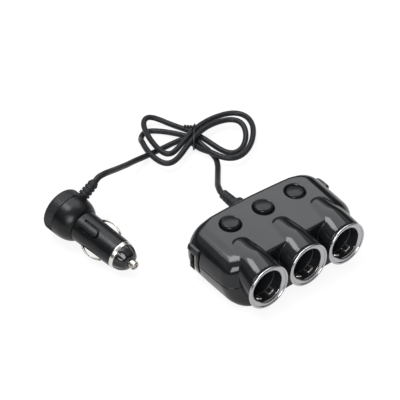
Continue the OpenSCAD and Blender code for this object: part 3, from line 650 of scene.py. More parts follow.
# ---- Stage ----
LAMP_COLOUR = (0.95, 0.965, 1.0)
SENSOR = 36
CAMERA_AT = (-0.30736, -0.33258, 0.44304)
CAMERA_TILT = math.radians(48.9)
CAMERA_HEADING = math.radians(-36.5)
TABLE_HALF = 3.0
DARK = 0.03
GLOW_SHARE = 0.86


def softbox(name, place, towards, width, height, watts):
    lamp = bpy.data.lights.new(name, "AREA")
    lamp.shape = "RECTANGLE"
    lamp.size, lamp.size_y = width, height
    lamp.energy = watts
    lamp.color = LAMP_COLOUR
    lit = link(name, lamp)
    lit.location = place
    lit.rotation_euler = (Vector(towards) - Vector(place)).to_track_quat("-Z", "Y").to_euler()


def add_camera(lens):
    camera = bpy.data.cameras.new("camera")
    camera.lens = lens
    camera.sensor_width = SENSOR
    seen = link("camera", camera)
    seen.location = CAMERA_AT
    seen.rotation_euler = (CAMERA_TILT, 0, CAMERA_HEADING)
    bpy.context.scene.camera = seen


def add_room(sky, horizon):
    """The room that gloss reflects: grey at table level, dark above it, pale overhead, and
    brighter behind the hub than in front of it."""
    world = bpy.data.worlds.new("studio")
    bpy.context.scene.world = world
    world.use_nodes = True
    tree = world.node_tree
    way = add_node(tree, "ShaderNodeTexCoord").outputs["Generated"]
    split = add_node(tree, "ShaderNodeSeparateXYZ", {0: way})
    level = add_node(tree, "ShaderNodeMapRange", {"Value": split.outputs["Z"], "From Min": -1})
    ramp = add_node(tree, "ShaderNodeValToRGB", {"Fac": level.outputs["Result"]})
    stops = ramp.color_ramp.elements
    for where, value in ((0.53, horizon), (0.58, DARK), (0.7, DARK), (0.77, 1)):
        stops.new(where).color = (value, value, value, 1)
    stops[0].color = (horizon, horizon, horizon, 1)
    stops[-1].color = (1, 1, 1, 1)
    far = add_node(tree, "ShaderNodeVectorMath", {0: way, 1: (0.7, 0.7, 0)}, operation="DOT_PRODUCT")
    spread = {"From Min": -0.35, "From Max": 0.3, "To Min": 0.5 * sky, "To Max": sky}
    share = add_node(tree, "ShaderNodeMapRange", {"Value": far.outputs["Value"]} | spread)
    inputs = {"Color": ramp.outputs["Color"], "Strength": share.outputs["Result"]}
    fill(tree.nodes["Background"], inputs)


def table_material(floor, horizon):
    """Paint that takes the shadows, under a glow that the camera and reflections see and that
    fades towards the horizon."""
    pale = bpy.data.materials.new("table")
    pale.use_nodes = True
    tree = pale.node_tree
    painted = fill(tree.nodes["Principled BSDF"], {"Base Color": (*floor, 1), "Roughness": 0.7})
    place = add_node(tree, "ShaderNodeTexCoord")
    reach = add_node(tree, "ShaderNodeVectorMath", {0: place.outputs["Object"]}, operation="LENGTH")
    spread = {"From Min": 0.55, "From Max": 2.2, "To Min": 1, "To Max": horizon}
    inputs = {"Value": reach.outputs["Value"]} | spread
    fade = add_node(tree, "ShaderNodeMapRange", inputs, interpolation_type="SMOOTHSTEP")
    glow = add_node(tree, "ShaderNodeEmission", {"Strength": fade.outputs["Result"]})
    rays = add_node(tree, "ShaderNodeLightPath").outputs
    seen = rays["Is Camera Ray"]
    for ray in ("Is Glossy Ray", "Is Transmission Ray"):
        seen = add_node(tree, "ShaderNodeMath", {0: seen, 1: rays[ray]}, operation="MAXIMUM").outputs[0]
    share = add_node(tree, "ShaderNodeMath", {0: seen, 1: GLOW_SHARE}, operation="MULTIPLY")
    inputs = {0: share.outputs[0], 1: painted.outputs[0], 2: glow.outputs[0]}
    mix = add_node(tree, "ShaderNodeMixShader", inputs)
    fill(tree.nodes["Material Output"], {"Surface": mix.outputs[0]})
    return pale


class SPLITTER_OT_stage(Operator):
    """Pale table, soft studio light and the camera"""

    bl_idname = "splitter.stage"
    bl_label = "Stage"

    def execute(self, context):
        s = context.scene.splitter_stage
        context.scene.view_settings.view_transform = "Standard"
        add_camera(s.lens)
        add_room(s.sky, s.horizon)
        softbox("key", (-0.78, -0.66, 0.7), (-0.02, 0, 0.02), 0.62, 0.6, s.key_watts)
        softbox("top", (0.1, 0.45, 0.95), (0, 0.03, 0), 1.4, 0.8, s.top_watts)
        softbox("over", (-0.3, 0.27, 1.0), (-0.1, 0.1, 0), 0.36, 0.36, s.over_watts)
        corners = [(x * TABLE_HALF, y * TABLE_HALF, 0) for x, y in ((-1, -1), (1, -1), (1, 1), (-1, 1))]
        floor = plain("table", corners, [(0, 1, 2, 3)])
        floor.materials.append(table_material(s.floor, s.horizon))
        link("table", floor)
        return {"FINISHED"}


# ---- Lead ----
# The route repeats part.scad's points, in millimetres
TIE_AT = (30.0, 130.5)
REACH = (39, 35.5, 33.5, 46)
SPREAD = (48, 34.5, 45.5, 51.5)
LEAN = (1, -4.5, 16, -7)
AIM = (168, 139, 164, 140)
PASS_AT = ((0, 0), (0.7, -2.3), (4.6, 0.8), (-0.7, 2.3), (-4.6, -0.8))
PASS_Z = (2.1, 6.7, 2.1, 6.7, 2.1)
TURN_START = (0.36, 0.3, 0.12, 0.86)
TURN_END = (0.46, 0.62, 0.36, 0.97)
TIE_LIFT = 1.7
LOOPS = 4
LOOP_STEPS = 64
BOOT_END = 57.002
HUB_ROUTE = (
    (0, BOOT_END, 16), (0.2, 60, 15.8), (2.2, 64.2, 14.8), (5, 69, 12.8), (9.8, 75.4, 9.6),
    (15.9, 83.3, 6), (21.5, 90.5, 3.4), (26, 96.6, 2.3), (29.6, 103.5, 2.1), (31, 112, 2.1),
    (31, 120, 2.3), (30.4, 126.5, 3.5),
)
PLUG_ROUTE = (
    (24.2, 133.8, 3.5), (21.4, 136, 2.7), (16, 136.8, 2.2), (7.5, 136.6, 2.1), (-1.5, 136.2, 2.2),
    (-12, 133.8, 4.4), (-23.2, 129.5, 8.6), (-33, 124.1, 13.4), (-40, 120, 17.4),
    (-47, 115.7, 21.6), (-54.1, 111.6, 25.8), (-60.5, 108.4, 29), (-66, 106.6, 30),
)
TIE_HEADING = math.radians(52)
TIE_ROUTE = (
    (-7.2, 0.85), (-3.6, 0.85), (-0.1, 0.85), (3.4, 0.85), (7, 0.9), (9.7, 2.9), (10, 6.5), (9.2, 10),
    (5.9, 11.25), (2.3, 11.3), (-1.2, 11.3), (-4.7, 11.3), (-8.3, 10.75), (-11.1, 8.65), (-11.5, 5),
    (-10.6, 1.7),
)
TWIST_START_Z = 11.75
TWIST_REACH = (-7.4, 3.6, 1.6)
TWIST_RADIUS = 0.8
TWIST_TURN = math.radians(700)


def ease(t):
    t = min(max(t, 0), 1)
    return t * t * (3 - 2 * t)


def between(values, u):
    """A value for each loop, eased from the middle of one to the middle of the next."""
    t = u - 0.5
    n = min(max(math.floor(t), 0), LOOPS - 2)
    return values[n] + (values[n + 1] - values[n]) * ease(t - n)


def wound(u):
    """A point of the tied lead: u counts its loops, and each whole number is a pass through the tie."""
    n = min(math.floor(u), LOOPS - 1)
    f = u - n
    out = math.sin(math.pi * u)
    start, end = np.array(PASS_AT[n], float), np.array(PASS_AT[n + 1], float)
    offset = start + (end - start) * ease(f)
    heading = math.radians(between(AIM, u))
    along = between(REACH, u) * out
    across = between(SPREAD, u) / 2 * math.sin(2 * math.pi * u) + between(LEAN, u) * out * abs(out)
    climb = ease((f - TURN_START[n]) / (TURN_END[n] - TURN_START[n]))
    lift = TIE_LIFT * (1 - ease(abs(u - round(u)) / 0.2))
    return (
        TIE_AT[0] + offset[0] + math.cos(heading) * along + math.sin(heading) * across,
        TIE_AT[1] + offset[1] + math.sin(heading) * along - math.cos(heading) * across,
        PASS_Z[n] + (PASS_Z[n + 1] - PASS_Z[n]) * climb + lift,
    )


def lead_path():
    """The lead's middle line, from the hub's strain relief to the plug's, in metres."""
    boot_tip = PLUG_BOOT.at((28 * MM, 0, 0)) / MM
    first = catmull([*HUB_ROUTE, wound(0)], 8)[:-1]
    loops = np.array([wound(n / LOOP_STEPS) for n in range(LOOP_STEPS * LOOPS)])
    last = catmull([wound(LOOPS), *PLUG_ROUTE, boot_tip], 8)
    return np.concatenate([first, loops, last]) * MM


class SPLITTER_OT_lead(Operator):
    """The lead from the hub to the plug, wound and tied in four loops"""

    bl_idname = "splitter.lead"
    bl_label = "Lead"

    def execute(self, context):
        lead = sweep("lead", lead_path(), circle(context.scene.splitter_lead.diameter / 2, 20))
        dress(lead, "lead_cover", "hub", "cord_rubber", "cord_lead_hub", "cord_bundle", "cord_lead_plug")
        return {"FINISHED"}


class SPLITTER_OT_tie(Operator):
    """The covered wire that ties the loops, with its twisted ends"""

    bl_idname = "splitter.tie"
    bl_label = "Tie"

    def execute(self, context):
        radius = context.scene.splitter_lead.tie_diameter / 2
        way = np.array((math.cos(TIE_HEADING), math.sin(TIE_HEADING)))
        ring = catmull(TIE_ROUTE, 6, closed=True)
        loop = np.column_stack([np.array(TIE_AT) + ring[:, :1] * way, ring[:, 1]]) * MM
        parts = [sweep("tie_loop", loop, circle(radius, 14), closed=True)]
        start = np.array((*(np.array(TIE_AT) + 3.5 * way), TWIST_START_Z))
        reach = np.array(TWIST_REACH)
        side = np.array((-reach[1], reach[0], 0)) / math.hypot(reach[0], reach[1])
        up = np.cross(side, reach / np.linalg.norm(reach))
        t = np.linspace(0, 1, 60)[:, None]
        for phase in (0, math.pi):
            turn = phase + TWIST_TURN * t
            strand = start + t * reach + TWIST_RADIUS * (np.cos(turn) * side + np.sin(turn) * up)
            parts.append(sweep("tie_end", strand * MM, circle(radius * 0.96, 14)))
        dress(join("lead_tie", parts), "tie_cover", "hub", "tie_plastic", "cord_tie")
        return {"FINISHED"}


# ---- Strain reliefs ----
RIBS = 4
RIB_SLOPE = 0.12


def ribbed(first, step, width, radius, taper, sleeve):
    """Outline of a sleeve with raised ribs, each a little lower than the one before."""
    made = []
    for n in range(RIBS):
        start, high = first + n * step, radius - n * taper
        end = start + width
        made += [(start, sleeve), (start + RIB_SLOPE, high), (end - RIB_SLOPE, high), (end, sleeve)]
    return made


class SPLITTER_OT_boots(Operator):
    """Ribbed strain reliefs at the hub and at the plug"""

    bl_idname = "splitter.boots"
    bl_label = "Strain reliefs"

    def execute(self, context):
        hub = [(-5.4, 0), (-5.4, 5.8), (-3.9, 5.8), (-3.9, 4.55), (0.1, 4.55)]
        hub += [(0.1, 5.7), (0.7, 6.3), (10.4, 6.3), (11, 5.7), (11, 3)]
        hub += ribbed(11.8, 3.3, 2.7, 3.9, 0.17, 3.3) + [(25, 2.75), (25, 0)]
        piece = lathe("hub_boot", hub, HUB_BOOT, 96, 0.25, closed=False)
        dress(piece, "rubber", "hub", "boot_rubber", "hub_cord_boot")
        plug = [(9, 0), (9, 3.9), (11.5, 3.9), (11.5, 3.6), (15.6, 3.6), (15.65, 3.1)]
        plug += ribbed(16, 2.75, 2.05, 4, 0.14, 3.1) + [(27, 2.95), (28, 2.6), (28, 0)]
        piece = lathe("plug_boot_sleeve", plug, PLUG_BOOT, 96, 0.22, closed=False)
        dress(piece, "rubber", "hub", "boot_rubber", "plug_boot")
        return {"FINISHED"}


# ---- Shells of the hub ----
# Levels of the skin as part.scad gives them: height in millimetres, half widths at the rear and
# front as shares of the half width, rear and front reach as shares of the rear's, and the radii
# of the rear and front corners as shares of the half width. They are looked up LEVEL_STEPS times
# a millimetre and smoothed over LEVEL_REACH steps to each side.
LEVELS = (
    (0, 0.872, 0.844, 0.828, 0.775, 0.183, 0.229),
    (3.5, 0.936, 0.917, 0.931, 0.731, 0.22, 0.22),
    (16, 1, 0.972, 1, 0.581, 0.22, 0.183),
    (26, 0.972, 0.945, 0.975, 0.541, 0.22, 0.21),
    (33.9, 0.835, 0.811, 0.906, 0.5375, 0.147, 0.22),
)
LEVEL_STEPS = 10
LEVEL_END = 34.01
LEVEL_REACH = 60
LEVEL_SPREAD = 24.0
SHOULDER_Z = 26 * MM
REAR_BOW = 1.5 * MM
TOP_Z = 37 * MM
END_FROM = 31 * MM
END_OVER = 12 * MM
# Along a socket, in millimetres: how far its hump rises above it, and the hump's radius
HUMP_RISE = ((0, 0), (5, 1.9), (10, 3.7), (14, 5.2), (18, 5.85), (25, 6.65), (29, 7.0), (36, 7.2))
HUMP_RADIUS = ((0, 14.6), (5, 14.4), (10, 13.9), (14, 13.4), (18, 13), (25, 12.4), (36, 12))
HUMP_END = 31.5 * MM
TUBE_RADIUS = 13 * MM
TUBE_END = 24 * MM
TUBE_START = 1.8 * MM
BORE_CUT = 12 * MM
BORE_CUT_END = 41 * MM
NECK_RADIUS = 4.6 * MM
NECK_FROM = 27 * MM
BOSSES = ((-15.9, -7.97), (15.9, -7.97), (-38, 25.5), (38, 25.5))
BOSS_RADIUS = 2.8 * MM
PILOT_RADIUS = 1.3 * MM
SCREW_RADIUS = 1.5 * MM
HEAD_RADIUS = 2.3 * MM
WELL_RADIUS = 6.5 * MM
WELL_Z = 28 * MM
DISH_DEPTH = 1.1 * MM


def bell(steps, spread):
    """Weights that smooth a row of values over a number of steps to each side."""
    weights = np.exp(-((np.arange(-steps, steps + 1) / spread) ** 2) / 2)
    return weights / weights.sum()


def skin_table():
    """How far the skin reaches in each direction at each height."""
    heights = np.arange(0, LEVEL_END, 1 / LEVEL_STEPS)
    table = np.array(LEVELS)
    rows = np.stack([np.interp(heights, table[:, 0], table[:, n]) for n in range(1, 7)], axis=1)
    below = 2 * rows[:1] - rows[LEVEL_REACH:0:-1]
    above = 2 * rows[-1:] - rows[-2 : -LEVEL_REACH - 2 : -1]
    ends = np.concatenate([below, rows, above])
    weights = bell(LEVEL_REACH, LEVEL_SPREAD)
    shares = [np.convolve(ends[:, n], weights, "valid") for n in range(6)]
    angles = np.radians(np.arange(-90, 91, 1.5))
    ways = np.stack([np.cos(angles), np.sin(angles)])
    rear_half, front_half, rear, front, rear_r, front_r = shares
    rear_r, front_r = rear_r * HALF_W, front_r * HALF_W
    best = np.full((len(heights), len(angles)), -1.0)
    for share in (0, 0.6, 1):
        x = share * (rear_half * HALF_W - rear_r)
        y = rear * REAR_Y - rear_r - REAR_BOW * share * share
        best = np.maximum(best, x[:, None] * ways[0] + y[:, None] * ways[1] + rear_r[:, None])
    x = front_half * HALF_W - front_r
    y = front_r - front * REAR_Y
    best = np.maximum(best, x[:, None] * ways[0] + y[:, None] * ways[1] + front_r[:, None])
    return ways.astype(np.float32), best.astype(np.float32)


def deck_height(y):
    return DECK_Z + (y - DECK_Y) * math.tan(DECK_SLOPE)


def body_distance(x, y, z, edge, end_edge=0.0):
    """Distance to the hub's body without its sockets. The end edge is added towards the ends of
    the deck."""
    ways, table = skin_table()
    deck = deck_height(y)
    shoulder = SHOULDER_Z + (z - SHOULDER_Z) * (DECK_Z - SHOULDER_Z) / (deck - SHOULDER_Z)
    level = np.where(z > SHOULDER_Z, shoulder, z)
    row = np.clip(level / MM * LEVEL_STEPS, 0, len(table) - 1.001)
    base = row.astype(np.int32)
    part = (row - base).astype(np.float32)
    side = np.full(x.shape, -1, np.float32)
    across = np.abs(x)
    for n in range(ways.shape[1]):
        column = table[:, n]
        limit = column[base] * (1 - part) + column[base + 1] * part
        np.maximum(side, across * ways[0, n] + y * ways[1, n] - limit, out=side)
    slope = np.sqrt(sum(g * g for g in np.gradient(side, x[1, 0, 0] - x[0, 0, 0])))
    side = side / np.clip(slope, 0.8, 1.6)
    top = (z - deck) * math.cos(DECK_SLOPE)
    share = np.clip((across - END_FROM) / END_OVER, 0, 1)
    edge = edge + end_edge * share * share * (3 - 2 * share)
    return soft_max(soft_max(side, top, edge), -z, 1.2 * MM)


def socket_local(x, y, z, i):
    """Depth into socket i, and the place across it."""
    dy, dz = y - MOUTH_Y, z - MOUTH_Z
    depth = dy * math.cos(TILT) - dz * math.sin(TILT)
    return depth, x - i * PITCH, dy * math.sin(TILT) + dz * math.cos(TILT)


def along_hump(pairs, depth):
    """A smoothed value of the hump at each depth, from pairs of a depth and its value."""
    fine = np.arange(-12, 48.01, 0.25)
    values = np.interp(fine, *zip(*pairs))
    values = np.convolve(np.pad(values, 40, "edge"), bell(40, 8), "valid")
    return np.interp(depth, fine * MM, values * MM)


def hump_distance(x, y, z, i):
    """Distance to a socket's tube and the hump that rises from it to the deck."""
    depth, across, up = socket_local(x, y, z, i)
    rise = along_hump(HUMP_RISE, depth)
    radius = along_hump(HUMP_RADIUS, depth)
    radius = TUBE_RADIUS + (radius - TUBE_RADIUS) * np.clip(0.5 + up / (12 * MM), 0, 1)
    end = depth + across**2 / (16 * MM) - HUMP_END
    hump = soft_max(np.hypot(across, up - rise) - radius, end, 1.5 * MM)
    tube = soft_max(np.hypot(across, up) - TUBE_RADIUS, depth - TUBE_END, MM)
    return soft_max(soft_min(hump, tube, 0.8 * MM), TUBE_START - depth, 0.3 * MM)


def openings(shape, x, y, z):
    """Cuts the bores, the ports and the lead's hole."""
    for i in PLACES:
        depth, across, up = socket_local(x, y, z, i)
        bore = soft_max(np.hypot(across, up) - BORE_CUT, depth - BORE_CUT_END, 0.3 * MM)
        shape = soft_max(shape, -bore, 0.3 * MM)
    for s in (-1, 1):
        pocket_half, slot_half = (5 * MM, 5.75 * MM, 7.2 * MM), (8 * MM, 3 * MM, 6.7 * MM)
        pocket = box_distance(x, y, z, (s * 55.4 * MM, PORT_Y, BEZEL_Z), pocket_half, 0.4 * MM)
        slot = box_distance(x, y, z, (s * 48 * MM, PORT_Y, PART_Z), slot_half, 0.3 * MM)
        shape = soft_max(shape, -np.minimum(pocket, slot), 0.4 * MM)
    neck = np.maximum(np.hypot(x, z - PART_Z) - NECK_RADIUS, NECK_FROM - y)
    return soft_max(shape, -neck, 0.3 * MM)


def screw_hole(around, z, upper):
    """A screw's pilot hole in the upper shell, or its hole and head's recess in the lower one."""
    if upper:
        return np.maximum(around - PILOT_RADIUS, z - 24 * MM)
    return np.minimum(around - SCREW_RADIUS, np.maximum(around - HEAD_RADIUS, z - 4 * MM))


def button_well(x, y, z, i):
    """A round well with a slight dish round its mouth."""
    around = np.hypot(x - i * BUTTON_PITCH, y - DECK_Y) - WELL_RADIUS
    dish = (around - (z - deck_height(y) + DISH_DEPTH) * 0.6) * 0.85
    return np.minimum(np.maximum(around, WELL_Z - z), np.maximum(dish, WELL_Z - z))


def shell(name, low_z, high_z, upper):
    """One shell of the hub as a net: skin, hollow, bosses and openings."""
    s = bpy.context.scene.splitter_hub
    low = (-57 * MM, -33 * MM, low_z)
    x, y, z = grid(low, (57 * MM, 34 * MM, high_z), s.cell)
    skin = body = body_distance(x, y, z, s.deck_edge, s.end_edge)
    for i in PLACES:
        skin = soft_min(skin, hump_distance(x, y, z, i), s.hump_blend)
    shape = soft_max(skin, -(body + s.wall), 0.6 * MM)
    from_screws = [np.hypot(x - bx * MM, y - by * MM) for bx, by in BOSSES]
    for around in from_screws:
        boss = np.maximum(around - BOSS_RADIUS, skin + 0.8 * MM)
        shape = soft_min(shape, boss, 0.6 * MM)
    shape = openings(shape, x, y, z)
    for around in from_screws:
        shape = soft_max(shape, -screw_hole(around, z, upper), 0.25 * MM)
    if upper:
        for i in PLACES:
            shape = soft_max(shape, -button_well(x, y, z, i), 0.5 * MM)
    shape = soft_max(shape, PART_Z - z if upper else z - PART_Z, s.seam_edge)
    return net_piece(name, shape, low, s.cell)


class SPLITTER_OT_shells(Operator):
    """Upper and lower shell of the hub, with humps, wells and openings"""

    bl_idname = "splitter.shells"
    bl_label = "Shells"

    def execute(self, context):
        upper = shell("upper_shell", PART_Z - MM, TOP_Z, True)
        dress(upper, "gloss_plastic", "hub", "hub_plastic", "top_shell")
        lower = shell("lower_shell", -1.2 * MM, PART_Z + MM, False)
        dress(lower, "gloss_plastic", "hub", "hub_plastic", "bottom_shell")
        return {"FINISHED"}


# ---- Sockets ----
RING_BACK = 1.8
BEAD = 0.85
LINER_RADIUS = 11.95
LINER_END = 40
CONTACT_SPREAD = 28
CONTACT_HALF = math.radians(10.2)
# Round a side contact: the depth into the socket, and the share of its half angle
CONTACT_BENDS = ((8.6, -1), (4.9, -1), (4.5, -0.75), (4.42, 0), (4.5, 0.75), (4.9, 1), (8.6, 1))
STRAP_RADIUS = 11.62


class SPLITTER_OT_rings(Operator):
    """Chrome trim rings with a bead outside and a low lip inside"""

    bl_idname = "splitter.rings"
    bl_label = "Trim rings"

    def execute(self, context):
        s = context.scene.splitter_sockets
        r, lip = s.ring_radius / MM, s.lip_radius / MM
        rises = ((1.7, 0), (1.32, 0.42), (1.0, 0.95), (0.76, 1.5), (0.66, 2.1), (0.72, 2.4))
        outline = [(RING_BACK, lip)] + [(depth, lip + rise) for depth, rise in rises]
        for turn in np.radians(np.arange(-60, 121, 12)):
            outline.append((BEAD - BEAD * math.cos(turn), r - BEAD + BEAD * math.sin(turn)))
        outline.append((RING_BACK, r - 0.25))
        for i, side in zip(PLACES, SIDES):
            ring = lathe(f"ring_{side}", outline, socket_placing(i), 144, 0.1, steps=3)
            dress(ring, "satin_chrome", "hub", "ring_metal", f"trim_ring_{side}")
        return {"FINISHED"}


class SPLITTER_OT_liners(Operator):
    """The dark liners of the sockets, with their lead-in step"""

    bl_idname = "splitter.liners"
    bl_label = "Socket liners"

    def execute(self, context):
        s = context.scene.splitter_sockets
        bore, end = s.bore_radius / MM, s.bore_length / MM
        outline = [(RING_BACK, LINER_RADIUS), (RING_BACK, 11), (9, 11), (9.25, bore), (end - 2.4, bore)]
        outline += [(end - 0.6, bore - 1.2), (end, bore - 3.2), (end, 4.6), (end - 0.5, 4.2)]
        outline += [(end - 0.5, 3.4), (end, 3.25), (LINER_END, 1.6), (LINER_END, LINER_RADIUS)]
        for i, side in zip(PLACES, SIDES):
            liner = lathe(f"liner_{side}", outline, socket_placing(i), 112, 0.12, steps=3)
            dress(liner, "liner_plastic", "hub", "liner_plastic", f"socket_liner_{side}")
        return {"FINISHED"}


def side_contact(place, middle, bar):
    """One side contact: a bar bent into a U across the bore, and the strap behind it."""
    path = []
    for depth, share in CONTACT_BENDS:
        turn, radius = middle + share * CONTACT_HALF, 10.3 + 0.2 * max(0, depth - 4.5)
        path.append((depth, radius * math.cos(turn), radius * math.sin(turn)))
    inward = place.at((0, 0, 0)) - place.at((0, math.cos(middle), math.sin(middle)))
    section = rounded_rectangle(bar, 1.05 * MM, 0.25 * MM, 3)
    bent = sweep("contact", place.at(catmull(path, 4) * MM), section, start_up=inward)
    side, up = STRAP_RADIUS * math.cos(middle), STRAP_RADIUS * math.sin(middle)
    path = np.array([(depth, side, up) for depth in np.linspace(8.2, 37, 8)])
    section = rounded_rectangle(3 * MM, 0.5 * MM, 0.15 * MM, 3)
    return [bent, sweep("strap", place.at(path * MM), section, start_up=inward)]


class SPLITTER_OT_contacts(Operator):
    """Bent side contacts and domed centre contacts of the sockets"""

    bl_idname = "splitter.contacts"
    bl_label = "Socket contacts"

    def execute(self, context):
        bar = context.scene.splitter_sockets.contact_bar
        dome = [(37.55, 0), (37.62, 1.2), (37.8, 2.4), (38.05, 3.2)]
        dome += [(39, 3.2), (39, 1.5), (41.5, 1.5), (41.5, 0)]
        for i, side in zip(PLACES, SIDES):
            place = socket_placing(i)
            parts = []
            for sign in (-1, 1):
                parts += side_contact(place, math.radians(180 + sign * CONTACT_SPREAD), bar)
            contacts = join(f"contacts_{side}", parts)
            dress(contacts, "contact_nickel", "hub", "contact_metal", f"side_contacts_{side}")
            centre = lathe(f"centre_contact_{side}", dome, place, 64, 0.15, closed=False)
            dress(centre, "nickel", "hub", "contact_metal", f"center_contact_{side}")
        return {"FINISHED"}


# ---- Buttons ----
BUTTON_TOP = 36.2
SKIRT = ((31.55, 0), (31.55, 1.2), (30.55, 1.2))
STEM_RADIUS = 1.8
STEM_END = 25.3


class SPLITTER_OT_buttons(Operator):
    """Domed push buttons; the right one is latched down"""

    bl_idname = "splitter.buttons"
    bl_label = "Buttons"

    def execute(self, context):
        s = context.scene.splitter_buttons
        r, dome, edge = s.radius / MM, s.dome / MM, s.edge / MM
        rim = dome - math.sqrt(dome * dome - r * r)
        outline = []
        for q in np.linspace(0, r - edge, 14):
            outline.append((BUTTON_TOP - dome + math.sqrt(dome * dome - q * q), q))
        low = BUTTON_TOP - rim - 0.75 * edge
        rise = outline[-1][0] - low
        for turn in np.radians(np.arange(10, 91, 10)):
            outline.append((low + rise * math.cos(turn), r - edge + edge * math.sin(turn)))
        outline += [(height, r + out) for height, out in SKIRT]
        outline += [(SKIRT[-1][0], STEM_RADIUS), (STEM_END, STEM_RADIUS), (STEM_END, 0)]
        for i, side in zip(PLACES, SIDES):
            drop = s.latch_drop if side == "right" else 0.0
            place = Placing((i * BUTTON_PITCH, DECK_Y, -drop), *UPRIGHT)
            button = lathe(f"push_{side}", outline, place, 96, 0.1, closed=False, steps=2)
            body = f"button_{side}_body"
            dress(button, "button_plastic", body, "button_plastic", f"button_{side}")
        return {"FINISHED"}


# ---- What repeats ----
def instance_tree(name, material):
    """A tree that sets a small shape on each point of a mesh, joins the copies and paints them."""
    tree = bpy.data.node_groups.new(name, "GeometryNodeTree")
    sockets = tree.interface.new_socket
    sockets("Geometry", in_out="INPUT", socket_type="NodeSocketGeometry")
    sockets("Shape", in_out="INPUT", socket_type="NodeSocketObject")
    sockets("Scale", in_out="INPUT", socket_type="NodeSocketFloat").default_value = 1.0
    sockets("Geometry", in_out="OUTPUT", socket_type="NodeSocketGeometry")
    given = add_node(tree, "NodeGroupInput").outputs
    info = add_node(tree, "GeometryNodeObjectInfo", {"Object": given["Shape"]})
    inputs = {"Points": given["Geometry"], "Instance": info.outputs["Geometry"], "Scale": given["Scale"]}
    place = add_node(tree, "GeometryNodeInstanceOnPoints", inputs)
    real = add_node(tree, "GeometryNodeRealizeInstances", {"Geometry": place.outputs["Instances"]})
    inputs = {"Geometry": real.outputs["Geometry"], "Material": FINISH[material]}
    coat = add_node(tree, "GeometryNodeSetMaterial", inputs)
    add_node(tree, "NodeGroupOutput", {"Geometry": coat.outputs["Geometry"]})
    return tree


def repeated(name, shape, points, material):
    """The shape at each point, through Geometry Nodes, as a plain mesh object."""
    holder = link(name + "_points", plain(name + "_points", points, []))
    modifier = holder.modifiers.new("repeat", "NODES")
    tree = modifier.node_group = instance_tree(name + "_tree", material)
    items = tree.interface.items_tree
    sockets = {item.name: item.identifier for item in items if item.in_out == "INPUT"}
    modifier[sockets["Shape"]] = shape
    modifier[sockets["Scale"]] = 1.0
    made = settled(holder)
    bpy.data.objects.remove(shape)
    made.name = name
    return link(name, made)


# ---- Side ports ----
BEZEL_X = 52.35 * MM
BEZEL_HALF = (1.93 * MM, 4.95 * MM, 7.15 * MM)
HOOD_AT = (53 * MM, PORT_Y + 0.3 * MM, 24.6 * MM)
HOOD_HALF = (2.1 * MM, 5.5 * MM, 2.2 * MM)
HOOD_FROM_Z = 22.9 * MM
HOOD_PROUD = 2 * MM
PORT_HOLE = (6 * MM, 2.87 * MM, 6.57 * MM)
BEZEL_CELL = 0.2 * MM
PORT_RIM_X = 54.2 * MM
STRIP_X = 46.9 * MM
STRIP_Z = (-3.5, -1.0, 1.0, 3.5)


def bezel(s, name):
    """A port's bezel with its small hood, as a net."""
    low = ((49.8 if s > 0 else -56.6) * MM, 10.6 * MM, 8 * MM)
    x, y, z = grid(low, (low[0] + 6.8 * MM, 23.8 * MM, 28.2 * MM), BEZEL_CELL)
    skin = body_distance(x, y, z, MM)
    block = box_distance(x, y, z, (s * BEZEL_X, PORT_Y, BEZEL_Z), BEZEL_HALF, 0.5 * MM)
    block = soft_max(block, skin - 0.4 * MM, 0.3 * MM)
    hood = box_distance(x, y, z, (s * HOOD_AT[0], *HOOD_AT[1:]), HOOD_HALF, 1.35 * MM)
    hood = soft_max(np.maximum(hood, HOOD_FROM_Z - z), skin - HOOD_PROUD, 0.5 * MM)
    hole = box_distance(x, y, z, (s * 53 * MM, PORT_Y, PART_Z), PORT_HOLE, 0.5 * MM)
    shape = soft_max(soft_min(block, hood, 0.4 * MM), -hole, 0.25 * MM)
    return net_piece(name, shape, low, BEZEL_CELL)


def port_shell(s, name):
    """The port's thin metal shell, open at the side of the hub, with a rolled edge."""
    outer, inner = rounded_rectangle(13.1, 5.7, 0.9, 5), rounded_rectangle(12.5, 5.1, 0.62, 5)
    rows = [(outer, 41.0), (outer, 54.25), (outer * 0.995, 54.38)]
    rows += [(inner, 54.4), (inner, 54.2), (inner, 41.7)]
    count = len(outer)
    points = [(s * x * MM, PORT_Y + b * MM, PART_Z + a * MM) for loop, x in rows for a, b in loop]
    last = (len(rows) - 1) * count
    ends = [tuple(range(count)), tuple(range(last, last + count))]
    return mesh_piece(name, points, bands(len(rows), count) + ends, sharp=math.radians(50))


def port_bar(name, s, places, width, height, rounding):
    """A bar of the port that runs outwards along its middle."""
    path = [(s * x * MM, PORT_Y, PART_Z) for x in places]
    return sweep(name, path, rounded_rectangle(width * MM, height * MM, rounding * MM, 3))


